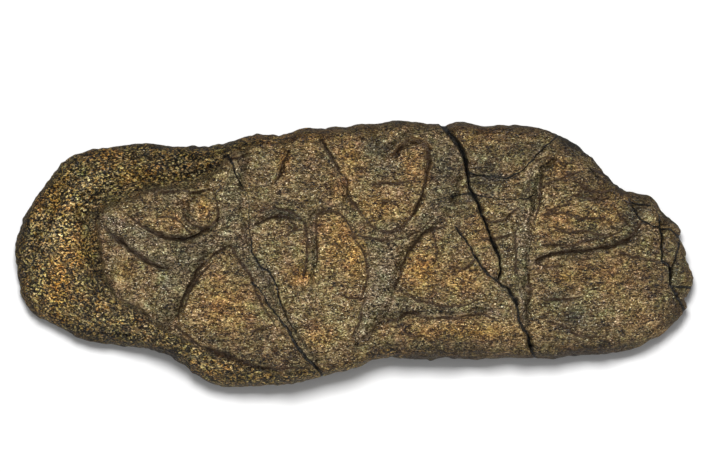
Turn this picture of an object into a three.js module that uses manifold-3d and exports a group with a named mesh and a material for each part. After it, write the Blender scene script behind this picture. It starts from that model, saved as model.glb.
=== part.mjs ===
// A section of a horned dinosaur's frill: one slab of fossil bone, lying on its underside.
// The upper face is smooth outer bone with branching blood-vessel grooves and a few cracks. The left end and
// two stretches of the edge are worn down to open, porous bone, a step lower. The underside is gently crowned,
// with a small flat spot that the slab rests on. Units are millimetres, +Z is up, and the origin is on the flat
// spot, under the middle of the slab. Places on the slab are [x, y] seen from above.
import * as THREE from "three";
import { mergeVertices } from "three/addons/utils/BufferGeometryUtils.js";
import { ImprovedNoise } from "three/addons/math/ImprovedNoise.js";
import Module from "manifold-3d";

// Driving dimensions.
const HALF_LENGTH = 129;
const HALF_WIDTH = 50.5;
const MID_THICKNESS = 25.5;
const THINNING_PER_MM = 0.035;
const THINNING_PER_MM2 = 0.00028;
const EDGE_INSET = 4;
const EDGE_REACH = 9;
const EDGE_DROP = 3;
const RIM_SHARE = 0.42;
const LEDGE_STEP = 2;
const LEDGE_WALL = 3;
const WORN_RIM_SHARE = 0.52;
const WORN_REACH = 15;
const GROOVE_WALL = 3;
const NARROWEST_GROOVE = 5.5;
const UNDER_INSET = 9;
const UNDER_RISE = 3.2;
const UNDER_SWELL = 0.5;
const FLAT_SPOT_SHARE = 0.42;
const FLAT_SPOT_HUB = [7, 3];

// How finely the slab is faceted.
const CELLS_LONG = 76;
const CELLS_ACROSS = 32;
const EDGE_STEPS_ABOVE = [66, 38, 12];
const EDGE_STEPS_BELOW = [-22, -56];
const UNDER_RINGS = [0.86, 0.66];

// The slab's outline from above, from the left end round by the far edge, the right end and the near edge.
const OUTLINE = [
  [-129, 0], [-128, 6.5], [-125, 15], [-122, 20], [-118.4, 25], [-115, 29.5], [-112.4, 33], [-107, 37.5],
  [-99, 40], [-90, 41], [-80, 42.1], [-74.5, 41.5], [-71, 40.7], [-64, 41.1], [-56, 40.7], [-51, 41.8],
  [-46, 42.8], [-40, 44.9], [-32, 45.4], [-27.5, 45], [-22, 46.8], [-17, 47.9], [-10, 47.5], [0, 48.8],
  [9, 50], [18, 50.5], [27, 50.2], [35, 48.9], [40, 49.6], [48, 49], [60, 48.8], [69, 48.3],
  [75, 46.7], [79, 44.3], [86, 41], [91, 36.5], [94, 32.4], [98.5, 28.6], [102, 24.8], [106, 23.4],
  [112, 22.2], [116, 18.5], [119, 14.6], [123.3, 11.2], [124.2, 8.6], [123.6, 5.8], [126, 2], [126.6, -2.4],
  [128.7, -7.5], [129, -10.8], [127, -15.2], [126.4, -17.4], [127.2, -20], [124.8, -23.5], [118, -30],
  [111, -34], [100, -37.3], [87, -38.8], [75, -39.8], [60, -39.6], [40, -39.8], [20, -39.7], [12, -39.5],
  [4, -42], [-4, -44.8], [-14, -47.2], [-25, -49.5], [-36, -50.4], [-46, -50.5], [-54, -49], [-60, -45.8],
  [-66, -41.2], [-72, -38.2], [-80, -35.8], [-90, -34.7], [-100, -33.4], [-106, -31.4], [-112, -28],
  [-120, -24], [-125, -18.5], [-127.4, -10], [-128.2, -4],
];

// Where the smooth outer bone ends, from the far edge round the left end to the near edge.
const LEDGE = [
  [-27, 45.5], [-35, 41.4], [-41, 39], [-47, 35.6], [-52, 31], [-58, 26.4], [-66, 24.9], [-74, 24.2],
  [-84, 21.2], [-92.5, 17.5], [-96, 13], [-96.6, 7], [-95.8, -1], [-94.4, -7], [-92, -12.5], [-85, -18],
  [-79, -22], [-72, -27.6], [-64, -32], [-57, -35.4], [-49, -37.6], [-40, -41], [-31, -42.6], [-25, -44.6],
  [-14, -44], [-4, -42.8], [5, -40.4], [12, -38.4],
];

// Blood-vessel grooves. Each is a depth and a path of [x, y, width].
const GROOVES = [
  { name: "trunk", depth: 2.1, path: [[14, 7, 12], [12, 0, 14.5], [11, -6, 12.5], [11, -11, 12], [10, -16, 12.5],
    [8, -21, 11], [5.5, -26, 8], [2.5, -30, 5], [0, -33, 3]] },
  { name: "lower branch", depth: 1.8, path: [[15, -20, 9], [22, -20, 6.5], [30, -21.3, 5.2], [38, -21.3, 4.6],
    [44, -20.7, 4.2], [49, -20, 4], [54, -22, 3.4], [58, -25, 3]] },
  { name: "right arm", depth: 1.7, path: [[15, 3, 10], [20, 7.5, 8], [25, 11, 8], [30, 17, 9], [33.5, 25, 11],
    [35, 33, 12], [34, 40, 11], [29, 45.5, 8], [22, 45.8, 5], [15, 43.6, 4.5]] },
  { name: "left arm", depth: 1.6, path: [[9, 4, 8], [4, 8, 7], [0.5, 12.5, 5.8], [-3, 18, 4.4], [-4, 25, 4],
    [-6, 32, 3.6], [-9, 38, 3.4], [-12, 43, 3]] },
  { name: "narrow stem", depth: 1.5, path: [[-18, 13.5, 5], [-16.2, 10, 4.4], [-15.7, 4, 4], [-15.8, -3, 4],
    [-16.3, -9, 3.6], [-15.5, -14, 3]] },
  { name: "stem left arc", depth: 1.3, path: [[-37, 12, 3.6], [-31, 14, 4.6], [-26, 15, 4.4], [-21, 13.5, 4.2],
    [-17, 13, 5]] },
  { name: "stem right arc", depth: 1.1, path: [[-17, 13, 5], [-12, 17.2, 4.4], [-7, 18.8, 4.2], [-2.5, 16.5, 4.4]] },
  { name: "left sweep", depth: 1.9, path: [[-95, 13, 5], [-89, 10.5, 7.4], [-83, 7, 8.6], [-77, 3.5, 9.6],
    [-71, 1, 10.4], [-65, 0, 10.6], [-58, 2, 9.4], [-52, 5, 9], [-46, 8, 10]] },
  { name: "left leg", depth: 1.7, path: [[-62, -3, 10], [-65.5, -9, 11], [-69, -15, 11], [-71.5, -21, 9],
    [-72, -26, 6]] },
  { name: "right leg", depth: 1.7, path: [[-46, 7, 10], [-42, 1, 8], [-37.5, -5, 6.6], [-34, -11, 6],
    [-30.5, -17, 5.6], [-27, -22.5, 5], [-23.5, -28, 4.4], [-20, -33.5, 3.6]] },
  { name: "upper leg", depth: 1.1, path: [[-46, 8, 10], [-46, 16, 8.6], [-44, 24, 7.4], [-41, 31, 6], [-38, 37, 4]] },
  { name: "lobe gap", depth: 1.5, path: [[-71, 21.5, 4], [-67, 18.5, 4.4], [-63.6, 14.6, 4.2], [-59.6, 10.4, 4],
    [-55, 9.6, 4], [-51.6, 13, 3.6], [-50.4, 19, 3.4]] },
  { name: "lobe foot", depth: 2.2, path: [[-80, 10, 3], [-75, 7.4, 3.6], [-69, 5.8, 4], [-63, 5.8, 4.4],
    [-58, 8, 3.6]] },
  { name: "left fold", depth: 2.2, path: [[-93, 8.4, 3], [-88.5, 4.6, 3.8], [-83, 0.8, 3.6], [-78, -2.6, 3.2],
    [-73, -4.8, 3]] },
  { name: "right stem", depth: 1.7, path: [[75, 35, 4], [70, 32, 6], [67.5, 27, 6.4], [66, 20, 7.2], [64.5, 12, 7],
    [64, 3, 6], [64, -5, 5.6], [64.3, -12, 5], [64.8, -19, 4.8], [65.5, -26, 4.4]] },
  { name: "far furrow", depth: 1.3, path: [[46, 30, 3], [54, 29, 3.8], [60, 29, 3.4], [65, 32, 3]] },
  { name: "right furrow", depth: 1.1, path: [[67, -3.5, 4], [72, -1, 4.4], [79, 1.8, 4], [88, 1.8, 4.6],
    [96, 3.6, 4.2], [104, 6.8, 3.6]] },
  { name: "upper furrow", depth: 1, path: [[75, 4.8, 3], [82, 5, 3.4], [90, 6.8, 3.4], [97, 9.2, 4], [103, 12, 3]] },
];

// Cracks. Each is a depth and a path of [x, y, width at the surface].
const CRACKS = [
  { name: "main crack", depth: 6, path: [[32.4, 51.6, 3], [34.6, 48.4, 2.2], [38, 43.4, 2.6], [40.4, 39.8, 2.8],
    [42.2, 35.5, 2.4], [43, 29, 1.7], [45, 22.8, 1.8], [47.2, 18, 1.7], [50, 11.4, 1.7], [52.4, 5.4, 1.9],
    [54.8, 0, 1.5], [55.6, -4, 1.1], [54.8, -9.4, 1]] },
  { name: "near crack", depth: 4.5, path: [[39, 10, 0.9], [42.4, 5.4, 0.9], [45.4, 0, 1], [48.4, -4.6, 1.1],
    [53.6, -9.8, 1.1], [57.4, -13, 1.4], [61, -16.6, 1.8], [62, -21, 1.3], [62.6, -25.6, 1.3], [65.6, -29.4, 1.7],
    [66.8, -34, 1.7], [68.2, -38, 1.5], [69.6, -42.4, 1.6]] },
  { name: "left crack", depth: 4, path: [[-38, -12, 1], [-35.4, -14.6, 1], [-31, -21, 1.1], [-26.8, -26.4, 1.2],
    [-22, -33.6, 1.5], [-17, -40.2, 2], [-12.6, -44, 1.4]] },
  { name: "right end crack", depth: 3.2, path: [[116.4, 14.6, 1], [116.4, 8, 1.2], [117.2, 0, 1.3],
    [119.4, -4.4, 1.3], [120.4, -11, 1.4], [123, -16.4, 1.2], [125.4, -20, 1]] },
];

// Lumps that stand above the surface between the grooves: [x, y, radius, height].
const LUMPS = [
  [-88, -8, 11, 1.5], [-74, 14, 8, 1.1], [-56.6, 17.6, 6, 1.5], [-47, -16, 15, 0.8], [-36, 28, 10, 0.7],
  [-26, 3, 9, 0.9], [-6, 0, 10, 1.2], [10, 26, 14, 1.2], [22, 38, 6, 0.8], [27, -4, 10, 1], [38, 0, 7, 0.9],
  [50, -28, 9, 0.9], [22, -28, 6, 0.9], [53, 17, 5, 0.8], [56, 39, 10, 0.8], [84, 22, 12, 0.8],
  [92, -8, 15, 0.8], [112, 16, 5, 1.6], [121, 10.5, 3.6, 1.7], [120.6, 2, 4.4, 1.8], [125, -8, 4.6, 2],
];

const RIGHT_END_ROUGH_FROM = 100;
const noise = new ImprovedNoise();

function smoothstep(low, high, value) {
  return THREE.MathUtils.smoothstep(value, low, high);
}

// A smooth path through hand-placed points; a third value, such as a width, is carried along.
function smoothPath(points, closed, count) {
  const corners = points.map(([x, y, width = 0]) => new THREE.Vector3(x, y, width));
  return new THREE.CatmullRomCurve3(corners, closed, "centripetal").getSpacedPoints(count);
}

// Distance from (x, y) to a path, less half the path's own width there; negative inside its strip.
function distanceToStrip(x, y, path) {
  let nearest = Infinity;
  for (let i = 1; i < path.length; i++) {
    const a = path[i - 1];
    const b = path[i];
    const dx = b.x - a.x;
    const dy = b.y - a.y;
    const along = THREE.MathUtils.clamp(((x - a.x) * dx + (y - a.y) * dy) / (dx * dx + dy * dy), 0, 1);
    const away = Math.hypot(x - a.x - dx * along, y - a.y - dy * along);
    nearest = Math.min(nearest, away - (a.z + (b.z - a.z) * along) / 2);
  }
  return nearest;
}

const outline = smoothPath(OUTLINE, true, 720);
const ledge = smoothPath(LEDGE, false, 160);
const grooves = GROOVES.map(({ depth, path }) => {
  const widened = path.map(([x, y, width]) => [x, y, Math.max(width, NARROWEST_GROOVE)]);
  return { depth, path: smoothPath(widened, false, 24) };
});
const outerBone = [...ledge, { x: 40, y: -80 }, { x: 160, y: -80 }, { x: 160, y: 80 }, { x: -10, y: 80 }];

// True where the smooth outer bone is still there, by counting edges crossed on the way to the right.
function onOuterBone(x, y) {
  let inside = false;
  outerBone.forEach((a, i) => {
    const b = outerBone[(i + 1) % outerBone.length];
    if (a.y > y !== b.y > y && x < a.x + ((y - a.y) * (b.x - a.x)) / (b.y - a.y)) inside = !inside;
  });
  return inside;
}

// The outline's radius at each angle about the middle, as a lookup over a full turn.
const outlineAngles = outline.slice(0, -1).map((p) => ({ angle: Math.atan2(p.y, p.x), radius: Math.hypot(p.x, p.y) }));
outlineAngles.sort((a, b) => a.angle - b.angle);

function outlineRadius(angle) {
  const turned = Math.atan2(Math.sin(angle), Math.cos(angle));
  const found = outlineAngles.findIndex((entry) => entry.angle >= turned);
  const after = found < 0 ? 0 : found;
  const before = (after + outlineAngles.length - 1) % outlineAngles.length;
  const a = outlineAngles[before];
  const b = outlineAngles[after];
  const span = (b.angle - a.angle + 2 * Math.PI) % (2 * Math.PI);
  const share = span ? ((turned - a.angle + 2 * Math.PI) % (2 * Math.PI)) / span : 0;
  return a.radius + (b.radius - a.radius) * share;
}

function outlinePoint(angle) {
  const radius = outlineRadius(angle);
  return new THREE.Vector2(radius * Math.cos(angle), radius * Math.sin(angle));
}

// The outward direction of the outline, taken over a wide span so that small notches don't turn it.
function outwardAt(angle) {
  const span = 9 / outlineRadius(angle);
  const tangent = outlinePoint(angle + span).sub(outlinePoint(angle - span)).normalize();
  return new THREE.Vector2(tangent.y, -tangent.x);
}

function insetPoint(angle, inset) {
  return outlinePoint(angle).addScaledVector(outwardAt(angle), -inset);
}

// Height of the unworn upper face before any relief: a slab that thins towards the right end.
function crownHeight(x) {
  return MID_THICKNESS - THINNING_PER_MM * x - THINNING_PER_MM2 * x * x;
}

// Rolling bumps of about the given size, between -1 and 1.
function rolling(x, y, size, layer) {
  return noise.noise(x / size, y / size, layer);
}

// How far (x, y) lies out from the ledge, over the worn stretches; negative on the smooth outer bone.
function beyondLedge(x, y) {
  const away = distanceToStrip(x, y, ledge);
  return onOuterBone(x, y) ? -away : away;
}

// Height of the smooth outer bone: crown, rounded edge, grooves, and the lumps between them.
function outerBoneHeight(x, y, toEdge) {
  const edgeDrop = EDGE_DROP * (1 - smoothstep(0, EDGE_REACH, toEdge));
  let relief = 0;
  for (const groove of grooves) {
    const inside = -distanceToStrip(x, y, groove.path);
    relief = Math.max(relief, groove.depth * smoothstep(0, GROOVE_WALL, inside));
  }
  let lump = 0;
  for (const [cx, cy, radius, height] of LUMPS) {
    const away = Math.hypot(x - cx, y - cy) / radius;
    lump = Math.max(lump, height * (1 - smoothstep(0.4, 1.2, away)));
  }
  const crumble = 1.5 * smoothstep(RIGHT_END_ROUGH_FROM, HALF_LENGTH, x) * rolling(x, y, 5.5, 8.1);
  return crownHeight(x) - edgeDrop - relief + lump * (1 - smoothstep(0, 1.2, relief)) + crumble;
}

// Height of the worn, porous bone: a step below the ledge, then a hollow bench, then a fall to the rim. Where
// the ledge runs close to the outline there is less room, so the fall is smaller.
function wornHeight(x, y, toEdge, fromLedge) {
  const run = fromLedge + Math.max(toEdge - EDGE_INSET, 0);
  const share = fromLedge / (run + 0.01);
  const room = Math.min(1, run / WORN_REACH);
  const fall = 0.5 * smoothstep(0, 0.36, share) + 0.5 * smoothstep(0.6, 1.02, share);
  const foot = crownHeight(x) - LEDGE_STEP * room - EDGE_DROP * (1 - room);
  return foot - fall * room * (foot - crownHeight(x) * WORN_RIM_SHARE);
}

// Height of the upper face at (x, y): outer bone and worn bone, joined across the ledge's wall.
function topHeight(x, y) {
  const toEdge = distanceToStrip(x, y, outline);
  const beyond = beyondLedge(x, y);
  const worn = smoothstep(-0.3 * LEDGE_WALL, 0.7 * LEDGE_WALL, beyond);
  const swell = 0.9 * rolling(x, y, 26, 1.3) + 0.35 * rolling(x, y * 1.6, 9, 5.7);
  const kept = worn < 1 ? outerBoneHeight(x, y, toEdge) : 0;
  const lowered = worn > 0 ? wornHeight(x, y, toEdge, Math.max(beyond, 0)) : 0;
  return THREE.MathUtils.lerp(kept, lowered, worn) + swell;
}

// Height of the underside: flat on the resting spot, then rising in a shallow, uneven crown to the edge.
function underHeight(x, y, share) {
  const rise = smoothstep(FLAT_SPOT_SHARE, 1.05, share);
  return rise * (UNDER_RISE + UNDER_SWELL * rolling(x, y, 24, 3.7));
}

// A point of a square grid carried onto the slab: the square becomes a disc, and the disc an oval that turns
// into the outline towards its edge. It gives the place and the angle about the middle.
function gridPlace(s, t) {
  const u = s * Math.sqrt(1 - (t * t) / 2);
  const v = t * Math.sqrt(1 - (s * s) / 2);
  const share = Math.min(1, Math.hypot(u, v));
  const angle = Math.atan2(v * HALF_WIDTH, u * HALF_LENGTH);
  const shoulder = insetPoint(angle, EDGE_INSET);
  const blend = share * share;
  const x = THREE.MathUtils.lerp(u * (HALF_LENGTH - EDGE_INSET), shoulder.x * share, blend);
  const y = THREE.MathUtils.lerp(v * (HALF_WIDTH - EDGE_INSET), shoulder.y * share, blend);
  return { x, y, angle };
}

// The slab as one closed mesh: a grid for the upper face, rings round the edge, and coarser rings and a flat
// cap below.
function slabGeometry() {
  const vertices = [];
  const faces = [];
  const add = (x, y, z) => vertices.push([x, y, z]) - 1;
  const quad = (a, b, c, d) => faces.push([a, b, c], [a, c, d]);

  const grid = [];
  for (let j = 0; j <= CELLS_ACROSS; j++) {
    const row = [];
    for (let i = 0; i <= CELLS_LONG; i++) {
      const place = gridPlace((2 * i) / CELLS_LONG - 1, (2 * j) / CELLS_ACROSS - 1);
      row.push({ index: add(place.x, place.y, topHeight(place.x, place.y)), angle: place.angle });
    }
    grid.push(row);
  }
  for (let j = 0; j < CELLS_ACROSS; j++) {
    for (let i = 0; i < CELLS_LONG; i++) {
      const cell = [grid[j][i], grid[j][i + 1], grid[j + 1][i + 1], grid[j + 1][i]].map(({ index }) => index);
      const heights = cell.map((index) => vertices[index][2]);
      // Each cell folds along its more level diagonal, so that slanting grooves stay smooth.
      const level = Math.abs(heights[0] - heights[2]) <= Math.abs(heights[1] - heights[3]);
      quad(...(level ? cell : [...cell.slice(1), cell[0]]));
    }
  }

  const rim = [
    ...grid[0].slice(0, -1),
    ...grid.slice(0, -1).map((row) => row[CELLS_LONG]),
    ...grid[CELLS_ACROSS].slice(1).reverse(),
    ...grid.slice(1).reverse().map((row) => row[0]),
  ];
  const shoulderHeights = rim.map(({ index }) => vertices[index][2]);
  const join = (upper, lower) => {
    upper.forEach((a, i) => {
      const next = (i + 1) % upper.length;
      quad(a, lower[i], lower[next], upper[next]);
    });
  };

  let ring = rim.map(({ index }) => index);
  const bend = (step, i, angle) => {
    const turn = THREE.MathUtils.degToRad(step);
    const inset = (step > 0 ? EDGE_INSET : UNDER_INSET) * (1 - Math.cos(turn));
    const place = insetPoint(angle, inset);
    const rimHeight = shoulderHeights[i] * RIM_SHARE;
    const reach = step > 0 ? shoulderHeights[i] - rimHeight : rimHeight - UNDER_RISE;
    const pitted = 0.5 * rolling(place.x, place.y, 5, step / 20);
    const outward = outwardAt(angle);
    return add(place.x + pitted * outward.x, place.y + pitted * outward.y, rimHeight + reach * Math.sin(turn));
  };
  for (const step of [...EDGE_STEPS_ABOVE, ...EDGE_STEPS_BELOW]) {
    const lower = rim.map(({ angle }, i) => bend(step, i, angle));
    join(ring, lower);
    ring = lower;
  }

  const everyOther = rim.filter((_, i) => i % 2 === 0);
  const underRing = (share) => everyOther.map(({ angle }) => {
    const place = insetPoint(angle, UNDER_INSET);
    const x = place.x * share;
    const y = place.y * share;
    return add(x, y, underHeight(x, y, share));
  });
  let coarse = underRing(1);
  coarse.forEach((a, i) => {
    const next = coarse[(i + 1) % coarse.length];
    const [first, middle, last] = [2 * i, 2 * i + 1, (2 * i + 2) % ring.length].map((k) => ring[k]);
    faces.push([first, a, middle], [middle, a, next], [middle, next, last]);
  });
  for (const share of [...UNDER_RINGS, FLAT_SPOT_SHARE]) {
    const inner = underRing(share);
    join(coarse, inner);
    coarse = inner;
  }
  const hub = add(...FLAT_SPOT_HUB, 0);
  coarse.forEach((a, i) => faces.push([a, hub, coarse[(i + 1) % coarse.length]]));
  return closedGeometry(vertices, faces);
}

function closedGeometry(vertices, faces) {
  const geometry = new THREE.BufferGeometry();
  geometry.setAttribute("position", new THREE.Float32BufferAttribute(vertices.flat(), 3));
  geometry.setIndex(faces.flat());
  return mergeVertices(geometry, 1e-4);
}

// A crack's cutter: a wedge along the path, its sharp side down in the bone and its open side above the face.
function crackGeometry({ depth, path }) {
  const clearance = 2.5;
  const points = smoothPath(path, false, Math.round(path.length * 1.7));
  const vertices = [];
  const faces = [];
  points.forEach((point, i) => {
    const before = points[Math.max(i - 1, 0)];
    const after = points[Math.min(i + 1, points.length - 1)];
    const along = new THREE.Vector2(after.x - before.x, after.y - before.y).normalize();
    const surface = topHeight(point.x, point.y);
    const half = (point.z / 2) * (1 + clearance / depth);
    vertices.push([point.x - along.y * half, point.y + along.x * half, surface + clearance]);
    vertices.push([point.x, point.y, surface - depth]);
    vertices.push([point.x + along.y * half, point.y - along.x * half, surface + clearance]);
  });
  for (let i = 0; i + 1 < points.length; i++) {
    const near = 3 * i;
    const far = near + 3;
    for (const [a, b] of [[0, 1], [1, 2], [2, 0]]) {
      faces.push([near + a, far + b, near + b], [near + a, far + a, far + b]);
    }
  }
  const end = 3 * (points.length - 1);
  faces.push([0, 1, 2], [end, end + 2, end + 1]);
  return closedGeometry(vertices, faces);
}

function solidOf(wasm, geometry) {
  return new wasm.Manifold(
    new wasm.Mesh({
      numProp: 3,
      vertProperties: new Float32Array(geometry.getAttribute("position").array),
      triVerts: new Uint32Array(geometry.index.array),
    }),
  );
}

function geometryOf(solid) {
  const { vertProperties, triVerts } = solid.getMesh();
  const geometry = new THREE.BufferGeometry();
  geometry.setAttribute("position", new THREE.BufferAttribute(vertProperties, 3));
  geometry.setIndex(new THREE.BufferAttribute(triVerts, 1));
  return geometry;
}

const wasm = await Module();
wasm.setup();
let slab = solidOf(wasm, slabGeometry());
for (const crack of CRACKS) slab = slab.subtract(solidOf(wasm, crackGeometry(crack)));

const bone = new THREE.MeshStandardMaterial({ color: 0x6b5a40, roughness: 0.62, metalness: 0 });
const frillSection = new THREE.Mesh(geometryOf(slab), bone);
frillSection.name = "frill_section";

const fossil = new THREE.Group();
fossil.add(frillSection);

export default fossil;
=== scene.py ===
"""Looks of a fossil frill section: one slab of brown bone with branching blood-vessel grooves.

The slab is one closed surface, worked out with numpy from given strokes: the outline,
the ledge where the smooth outer bone ends, the grooves, the dark creases at their walls, and the cracks.
Each stroke gives a signed distance, and the distances shape the relief and are kept on the mesh, where the
bone's material reads them. Places and sizes are in millimetres, with the origin under the middle of the
slab, and the mesh is in metres.
"""
import logging
import math
from dataclasses import dataclass, field
from enum import Enum

import bpy
import numpy as np
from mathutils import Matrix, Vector


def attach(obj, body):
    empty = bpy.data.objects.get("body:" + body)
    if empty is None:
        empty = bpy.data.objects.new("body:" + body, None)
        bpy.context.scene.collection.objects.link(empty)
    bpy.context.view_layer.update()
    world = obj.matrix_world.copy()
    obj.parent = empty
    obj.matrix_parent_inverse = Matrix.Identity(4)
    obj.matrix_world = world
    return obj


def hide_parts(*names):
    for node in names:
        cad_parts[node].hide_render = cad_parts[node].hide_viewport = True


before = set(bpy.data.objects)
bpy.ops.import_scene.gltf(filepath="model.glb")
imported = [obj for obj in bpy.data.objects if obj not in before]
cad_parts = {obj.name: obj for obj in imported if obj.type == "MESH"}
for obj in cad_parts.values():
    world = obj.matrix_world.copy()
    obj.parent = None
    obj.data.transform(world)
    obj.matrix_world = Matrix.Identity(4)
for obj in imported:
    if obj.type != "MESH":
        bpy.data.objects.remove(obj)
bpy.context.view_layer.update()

log = logging.getLogger("frill_section")

METRES_PER_MM = 0.001

# Distances in millimetres: the most that is kept of one, how near a line its places are looked at, a start
# that every distance beats, and floors that keep a sum from dividing by nothing.
FAR = 12.0
NEAR = 6.0
BEYOND = 1e9
TINY = 1e-9
SHORTEST_CHORD = 1e-6

DISTANCES = ("groove", "worn", "edge", "crease", "crease_across", "crack", "crack_across")
UNSTRETCHED = (1.0, 1.0, 1.0)

# The mixing of bits that stands for chance, the same on every run.
HASH_PRIMES = (73856093, 19349663, 83492791)
HASH_SEED_FACTOR = 2654435761
HASH_FACTOR = 0x9E3779B97F4A7C15
HASH_TURNS = (15, 13, 16)

Triple = tuple[float, float, float]
Points = tuple[tuple[float, ...], ...]
Stops = tuple[tuple[float, tuple[int, int, int]], ...]
Socket = bpy.types.NodeSocket
Value = Socket | float | tuple[float, ...]


class Tint(Enum):
    """What a patch does to the bone's colour: its factors on red, green and blue at full weight. Besides
    stains,
    DARK patches are also painted shade, and PALE and some WARM patches painted light.
    """

    WARM = (1.36, 1.03, 0.52)
    COOL = (0.36, 0.49, 0.68)
    PALE = (1.3, 1.36, 1.6)
    DARK = (0.08, 0.065, 0.04)


@dataclass(frozen=True)
class Stroke:
    """A line drawn on the slab: a depth and a path of [x, y, width]."""

    depth: float
    path: Points


@dataclass(frozen=True)
class NoiseLayer:
    """One layer of noise in the relief: its height and size in millimetres, and its drawing out."""

    height: float
    size: float
    octaves: int
    seed: int
    stretch: Triple = UNSTRETCHED

    def at(self, points: np.ndarray) -> np.ndarray:
        """The layer's height at each point."""
        return self.height * fractal_noise(points * self.stretch, self.size, self.octaves, self.seed)


@dataclass(frozen=True)
class Pattern:
    """A noise pattern in the material: its scale per millimetre, octaves, roughness, warp and stretch."""

    scale: float
    detail: float
    roughness: float
    warp: float = 0.0
    stretch: Triple = UNSTRETCHED


@dataclass(frozen=True)
class Rise:
    """A smooth change from start to end, while a value goes from low to high."""

    low: float
    high: float
    start: float = 0.0
    end: float = 1.0


@dataclass(frozen=True)
class SoftLight:
    """A square light: degrees round from +X and above level, metres away, its side in metres, and watts."""

    name: str
    azimuth: float
    elevation: float
    distance: float
    size: float
    power: float


# The slab's edge from above, clockwise from the tip of the worn end.
OUTLINE: Points = (
    (-129, 0), (-128, 6), (-126.5, 11), (-125, 15), (-122, 20), (-118.5, 25), (-115, 29.5), (-112.5, 33),
    (-110, 35.5), (-107, 37.5), (-103, 39), (-99, 40), (-93, 40.6), (-86, 41.5), (-82, 42), (-77, 42),
    (-74, 41.4), (-71, 40.7), (-67, 41.1), (-62, 41), (-55, 40.8), (-51.5, 41.8), (-47, 42.4), (-43, 44),
    (-39, 45), (-31.5, 45.4), (-28, 45), (-25, 45.7), (-21.5, 47), (-17, 47.9), (-10, 47.5), (-6, 48.2),
    (0, 48.8), (7, 49.8), (13, 50.2), (18, 50.5), (25, 50.3), (30, 49.8), (34, 49), (35, 48.7), (37, 49),
    (40, 49.7), (45, 49.1), (52, 49), (60, 48.8), (66, 48.3), (69, 48.3), (73.5, 47.3), (76.5, 45.8),
    (79, 44.3), (82, 43), (86, 41), (88.5, 39), (91, 36.5), (93.5, 33), (95, 31.5), (98, 29), (100.5, 26.5),
    (102, 24.8), (104, 23.8), (106, 23.4), (109, 22.6), (112, 22.2), (114, 21), (116, 18.5), (118, 15.5),
    (121, 13), (123.5, 11), (124.4, 9), (123.8, 7), (123.6, 5.2), (125, 3.5), (126.2, 1), (126.6, -2),
    (127.5, -5), (128.8, -7.5), (129.3, -10.5), (128.6, -13), (127, -15.5), (126.3, -17.5), (127.4, -20),
    (126.3, -21.5), (124.8, -23.5), (121.5, -27), (118, -30), (113, -33), (107, -35.5), (100, -37.3),
    (92, -38.5), (85, -38.8), (75, -39.9), (68, -39.6), (60, -39.6), (50, -39.8), (35, -39.8), (20, -39.7),
    (14, -39.3), (9, -40), (4, -42), (0, -43.8), (-4, -44.8), (-10, -46), (-17, -48), (-25, -49.5),
    (-35, -50.2), (-45, -50.5), (-50, -50.2), (-55, -48.6), (-60, -45.8), (-65, -42), (-70, -38.8),
    (-75, -37), (-80, -35.8), (-85, -35.2), (-90, -34.7), (-95, -34.3), (-100, -33.5), (-104, -32.5),
    (-107, -31), (-110, -29), (-113, -27.5), (-117, -25.5), (-120, -24), (-123, -21.5), (-125, -18.5),
    (-126.5, -15), (-127.5, -10), (-128, -5), (-128.8, -1),
)

# Where the smooth outer bone ends, from the far edge round the left end to the near edge.
LEDGE: Points = (
    (-24, 48), (-28, 45), (-35, 41.5), (-41, 39), (-47, 36), (-52, 31), (-58, 26.5), (-66, 25), (-72, 24.5),
    (-78, 23), (-84, 21), (-89, 19), (-93, 17.5), (-95.5, 14), (-96.5, 9), (-96, 4), (-95.5, -1),
    (-94.5, -6), (-93, -11), (-90, -15), (-85, -18), (-80, -21), (-75, -25), (-70, -29), (-64, -32),
    (-59, -34.5), (-55, -36), (-49, -37.5), (-43, -40), (-38, -41.5), (-31, -42.5), (-26, -44.5),
    (-22, -44.5), (-12, -44), (-5, -43), (2, -41.5), (8, -39.5), (14, -36),
)

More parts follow.
